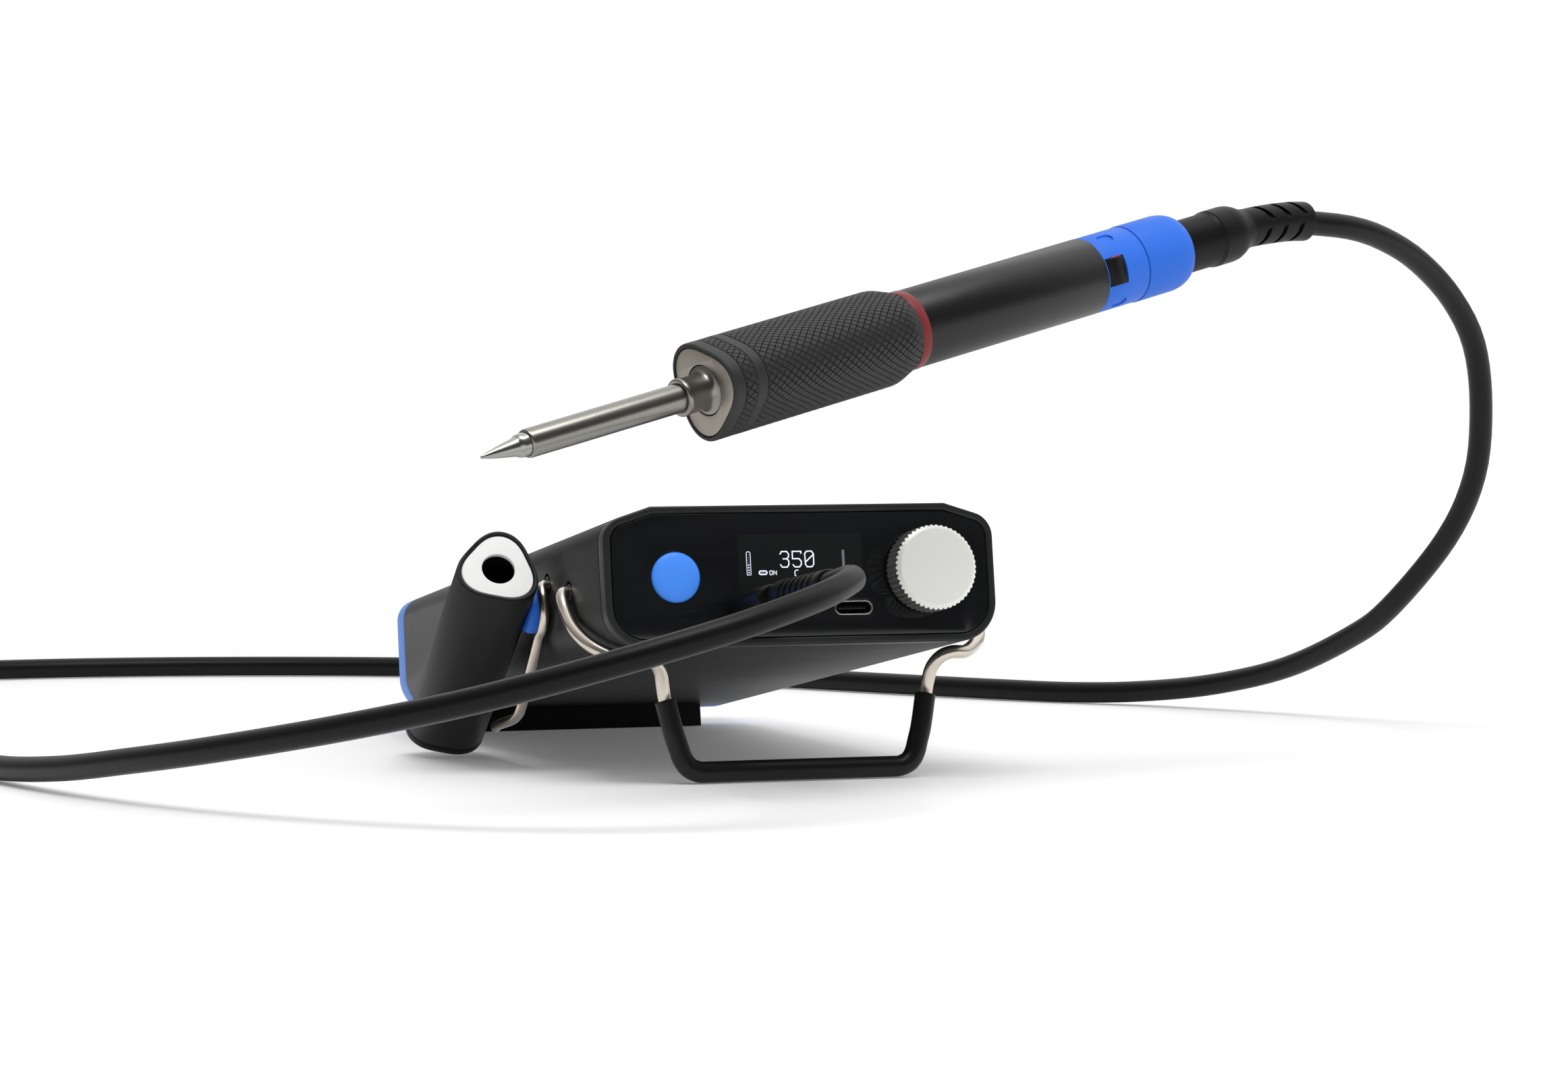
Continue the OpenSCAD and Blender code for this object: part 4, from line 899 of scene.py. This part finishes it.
def ring(name, outer, inner, low, high, edge=0.15, steps=128):
    """A plain ring with softened outer edges."""
    return turned(name, [
        (inner, low), (outer - edge, low), (outer - 0.3 * edge, low + 0.3 * edge), (outer, low + edge),
        (outer, high - edge), (outer - 0.3 * edge, high - 0.3 * edge), (outer - edge, high), (inner, high)],
        steps)


fit(ring("accent_band", TUBE + 0.12, BAND_BORE, RING, RING + 2.5), IRON, station, ring_red,
    ["accent_ring"], 40)
fit(ring("handle_barrel", TUBE, TUBE_BORE, RING + 2.55, TUBE_END, 0.12, 160), IRON, station, tube_black,
    ["handle_tube"], 40)
collar = ring("collar_front", TUBE - 0.03, COLLAR_BORE, TUBE_END + 0.03, COLLAR_END, 0.16, 160)
cutter = block("latch_cut", 6, 6.3, 5.5, (TUBE, 0, TUBE_END + 2.95))
cutter.data.transform(turn(LATCH_TURN, "Z"))
cut(collar, cutter)
for side in (-58, 58):
    recess = raised("recess", oblong(4.2, 2.8, 0, 0, 12), 0, 4)
    floor = shift(TUBE - 0.42, 0, TUBE_END + 4.6)
    recess.data.transform(turn(LATCH_TURN + side, "Z") @ floor @ turn(90, "Y"))
    cut(collar, recess)
fit(collar, IRON, station, collar_blue, ["rear_collar"], 40)
LOCK_PROFILE = [
    (LOCK_BORE, COLLAR_END + 0.15), (TUBE - 0.1, COLLAR_END + 0.15), (TUBE + 0.06, COLLAR_END + 0.2),
    (TUBE + 0.12, COLLAR_END + 0.35),
    *[(6.6 + 2.12 * x, LOCK_END - 4.8 + 4.8 * y) for x, y in arc(0, 0, 1, 0, 90, 10)],
    (LOCK_BORE, LOCK_END)]
lock = turned("collar_lock_ring", LOCK_PROFILE, 160)
fit(lock, IRON, "collar_lock", collar_blue, ["lock_ring"], 30)
latch = raised("latch_wedge", [(COLLAR_BORE, 0), (TUBE - 0.5, 0), (TUBE + 0.35, 1.6), (TUBE + 0.35, 2.6),
        (TUBE - 0.4, 5.2), (COLLAR_BORE, 5.2)], -3, 3)
bevel(latch, 0.18, 3, 30)
latch.data.transform(turn(LATCH_TURN, "Z") @ shift(0, 0, TUBE_END + 0.35) @ turn(90, "X"))
fit(latch, IRON, "latch_tab", plug_black, ["latch"], 35)
tab_light = block("latch_light", 0.5, 0.25, 2.4, (TUBE - 0.75, -3.12, TUBE_END + 3.6))
tab_light.data.transform(turn(LATCH_TURN, "Z"))
fit(tab_light, IRON, station, glow)

# ---------------------------------------------------------------- iron: plug and relief
iron_plug = turned("iron_plug_body", [
    (0, TUBE_END + 0.6), (5, TUBE_END + 0.6), (5, TUBE_END + 8.3), (6.1, TUBE_END + 8.6), (6.1, 202.5),
    (6.2, 202.9), (6.38, 203.2), (6.42, 203.45), (6.3, 203.55), (6.3, 203.75), (6.45, 203.9), (6.45, 208.6),
    (6.3, 209.9), (5.85, 211.2), (5.2, 212.5), (4.75, 213.4), (4.55, 214.7), (0, 214.7)])
fit(iron_plug, IRON, station, plug_black, ["iron_plug"], 40)
relief_path = [iron_point(213.6, 0), iron_point(214.7, 0), iron_point(219, 0.25), iron_point(224, 0.75),
               iron_point(229, 1.4), iron_point(RELIEF_END, 2.4)]
relief = bent_rod("iron_relief_ribs", relief_path, 4.5, 1.2, 10)
bevel(relief, 0.9, 4, 60)
RELIEF_SLOTS = [  # place on the axis, drop of the bent relief there, turn round it, lean
    (217.8, 0.2, 44, -24), (223.0, 0.65, 44, -24), (228.2, 1.3, 44, -24),
    (219.6, 0.35, -52, 24), (224.9, 0.85, -52, 24), (230.3, 1.6, -52, 24)]
for along, drop, spin, lean in RELIEF_SLOTS:
    slot_cut = raised("slot_cut", oblong(8.6, 1.25, 0, 0, 8), 0, 3)
    heading = turn(spin + 12, "Z") @ turn(90, "Y") @ turn(90 + lean, "Z")
    place = SCALE.inverted() @ IRON @ shift(0, 0, along) @ heading
    slot_cut.data.transform(shift(0, 0, -drop) @ place @ shift(0, 0, 3.55))
    cut(relief, slot_cut)
fit(relief, BENCH, station, plug_black, ["iron_relief"], 30)

# ---------------------------------------------------------------- finishes on CAD nodes
CAD_FINISHES = {bezel_black: ["rear_panel"], part_black: ["button_switch", "inductors", "cell_holder_front",
        "cell_holder_rear", "stand_bushings", "bracket_bushing", "display_module"],
    board_green: ["control_board", "power_board", "iron_board"],
    part_metal: ["board_screws", "rear_screws", "encoder_body", "encoder_rotor", "encoder_shaft",
        "capacitors", "cell_links", "saddle_magnet", "iron_usb_socket"],
    cell_green: ["battery_cell_1", "battery_cell_2", "battery_cell_3"], rubber_black: ["rear_foot"],
    saddle_blue: ["saddle"], cap_black: ["cap_core"], brass: ["tip_plug", "tip_socket"],}
for material, names in CAD_FINISHES.items():
    for name in names:
        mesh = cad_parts[name].data
        mesh.materials.clear()
        mesh.materials.append(material)

# ---------------------------------------------------------------- light and stage
scene.view_settings.view_transform = "Standard"


def area_light(name, place, target, size, power, colour=(1, 1, 1)):
    light = bpy.data.objects.new(name, bpy.data.lights.new(name, "AREA"))
    light.data.shape = "RECTANGLE"
    light.data.size, light.data.size_y = size
    light.data.energy = power
    light.data.color = colour
    scene.collection.objects.link(light)
    light.location = place
    light.rotation_euler = (Vector(target) - Vector(place)).to_track_quat("-Z", "Y").to_euler()
    return light


area_light("key", (-0.1, -0.5, 1.25), (0, -0.1, 0.05), (0.9, 0.5), 9)
fill = area_light("fill", (0.9, -1.3, 0.7), (0, -0.1, 0.06), (0.8, 0.8), 3)
fill.visible_glossy = False  # no square of light in the panel
area_light("rear strip", (0.2, 0.9, 0.9), (0, -0.05, 0.08), (1.4, 0.35), 0.6)


def ray_kinds(tree):
    """Two masks: rays from the camera or through glass, and these with the rays that gloss sends out."""
    ray = node(tree, "LightPath")
    direct = combine(tree, ray.outputs["Is Camera Ray"], ray.outputs["Is Transmission Ray"], "MAXIMUM")
    return direct, combine(tree, direct, ray.outputs["Is Glossy Ray"], "MAXIMUM")


world = bpy.data.worlds.new("studio")
scene.world = world
world.use_nodes = True
sky = world.node_tree
even = sky.nodes["Background"]
even.inputs["Color"].default_value = (1, 1, 1, 1)
direct, shown = ray_kinds(sky)
backdrop = node(sky, "Background", {"Color": (1, 1, 1, 1)})
look_out = node(sky, "SeparateXYZ")
sky.links.new(node(sky, "TexCoord").outputs["Generated"], look_out.inputs[0])


def dimmed(side, dim_at, full_at, least, most):
    """Light of the studio that fades from most to least towards one side."""
    made = node(sky, "MapRange", {"From Min": dim_at, "From Max": full_at, "To Min": least, "To Max": most},
                interpolation_type="SMOOTHSTEP")
    sky.links.new(look_out.outputs[side], made.inputs["Value"])
    return made.outputs["Result"]


# the studio is dim on the left and in front of the bench, which gives metal and gloss their dark bands
sky.links.new(dimmed("X", -1.0, 0.3, 0.28, 0.82), even.inputs["Strength"])
mirrored_light = combine(sky, dimmed("Y", -0.6, 0.15, 0.08, 1.0), dimmed("X", -0.8, 0.1, 0.3, 1.0),
    "MULTIPLY")
mirrored_light = combine(sky, mirrored_light, dimmed("Z", 0.0, 0.6, 0.45, 1.15), "MULTIPLY")
sky.links.new(combine(sky, direct, mirrored_light, "MAXIMUM"), backdrop.inputs["Strength"])
choose = node(sky, "MixShader")
for socket, source in enumerate((shown, even.outputs[0], backdrop.outputs[0])):
    sky.links.new(source, choose.inputs[socket])
sky.links.new(choose.outputs[0], sky.nodes["World Output"].inputs["Surface"])


def bench_finish():
    """White that lights itself a little more away from the middle, as far as camera and gloss can see."""
    made = bpy.data.materials.new("bench white")
    made.use_nodes = True
    tree = made.node_tree
    link = tree.links.new
    skin = tree.nodes["Principled BSDF"]
    skin.inputs["Base Color"].default_value = (0.86, 0.86, 0.86, 1)
    skin.inputs["Roughness"].default_value = 0.6
    skin.inputs["Specular IOR Level"].default_value = 0.2
    lift = node(tree, "Emission", {"Color": (1, 1, 1, 1)})
    away = node(tree, "VectorMath", operation="LENGTH")
    link(node(tree, "TexCoord").outputs["Object"], away.inputs[0])
    fade = node(tree, "MapRange", {"From Min": 0.3, "From Max": 1.2, "To Min": 0.1, "To Max": 0.6})
    link(away.outputs["Value"], fade.inputs["Value"])
    link(fade.outputs["Result"], lift.inputs["Strength"])
    both = node(tree, "AddShader")
    link(skin.outputs[0], both.inputs[0])
    link(lift.outputs[0], both.inputs[1])
    only = node(tree, "MixShader")
    for socket, source in enumerate((ray_kinds(tree)[1], skin.outputs[0], both.outputs[0])):
        link(source, only.inputs[socket])
    link(only.outputs[0], tree.nodes["Material Output"].inputs["Surface"])
    return made


leave_edit()
bpy.ops.mesh.primitive_plane_add(size=8, location=(0, 0, -0.0002))
bench = bpy.context.object
bench.name = "bench"
bench.data.materials.append(bench_finish())
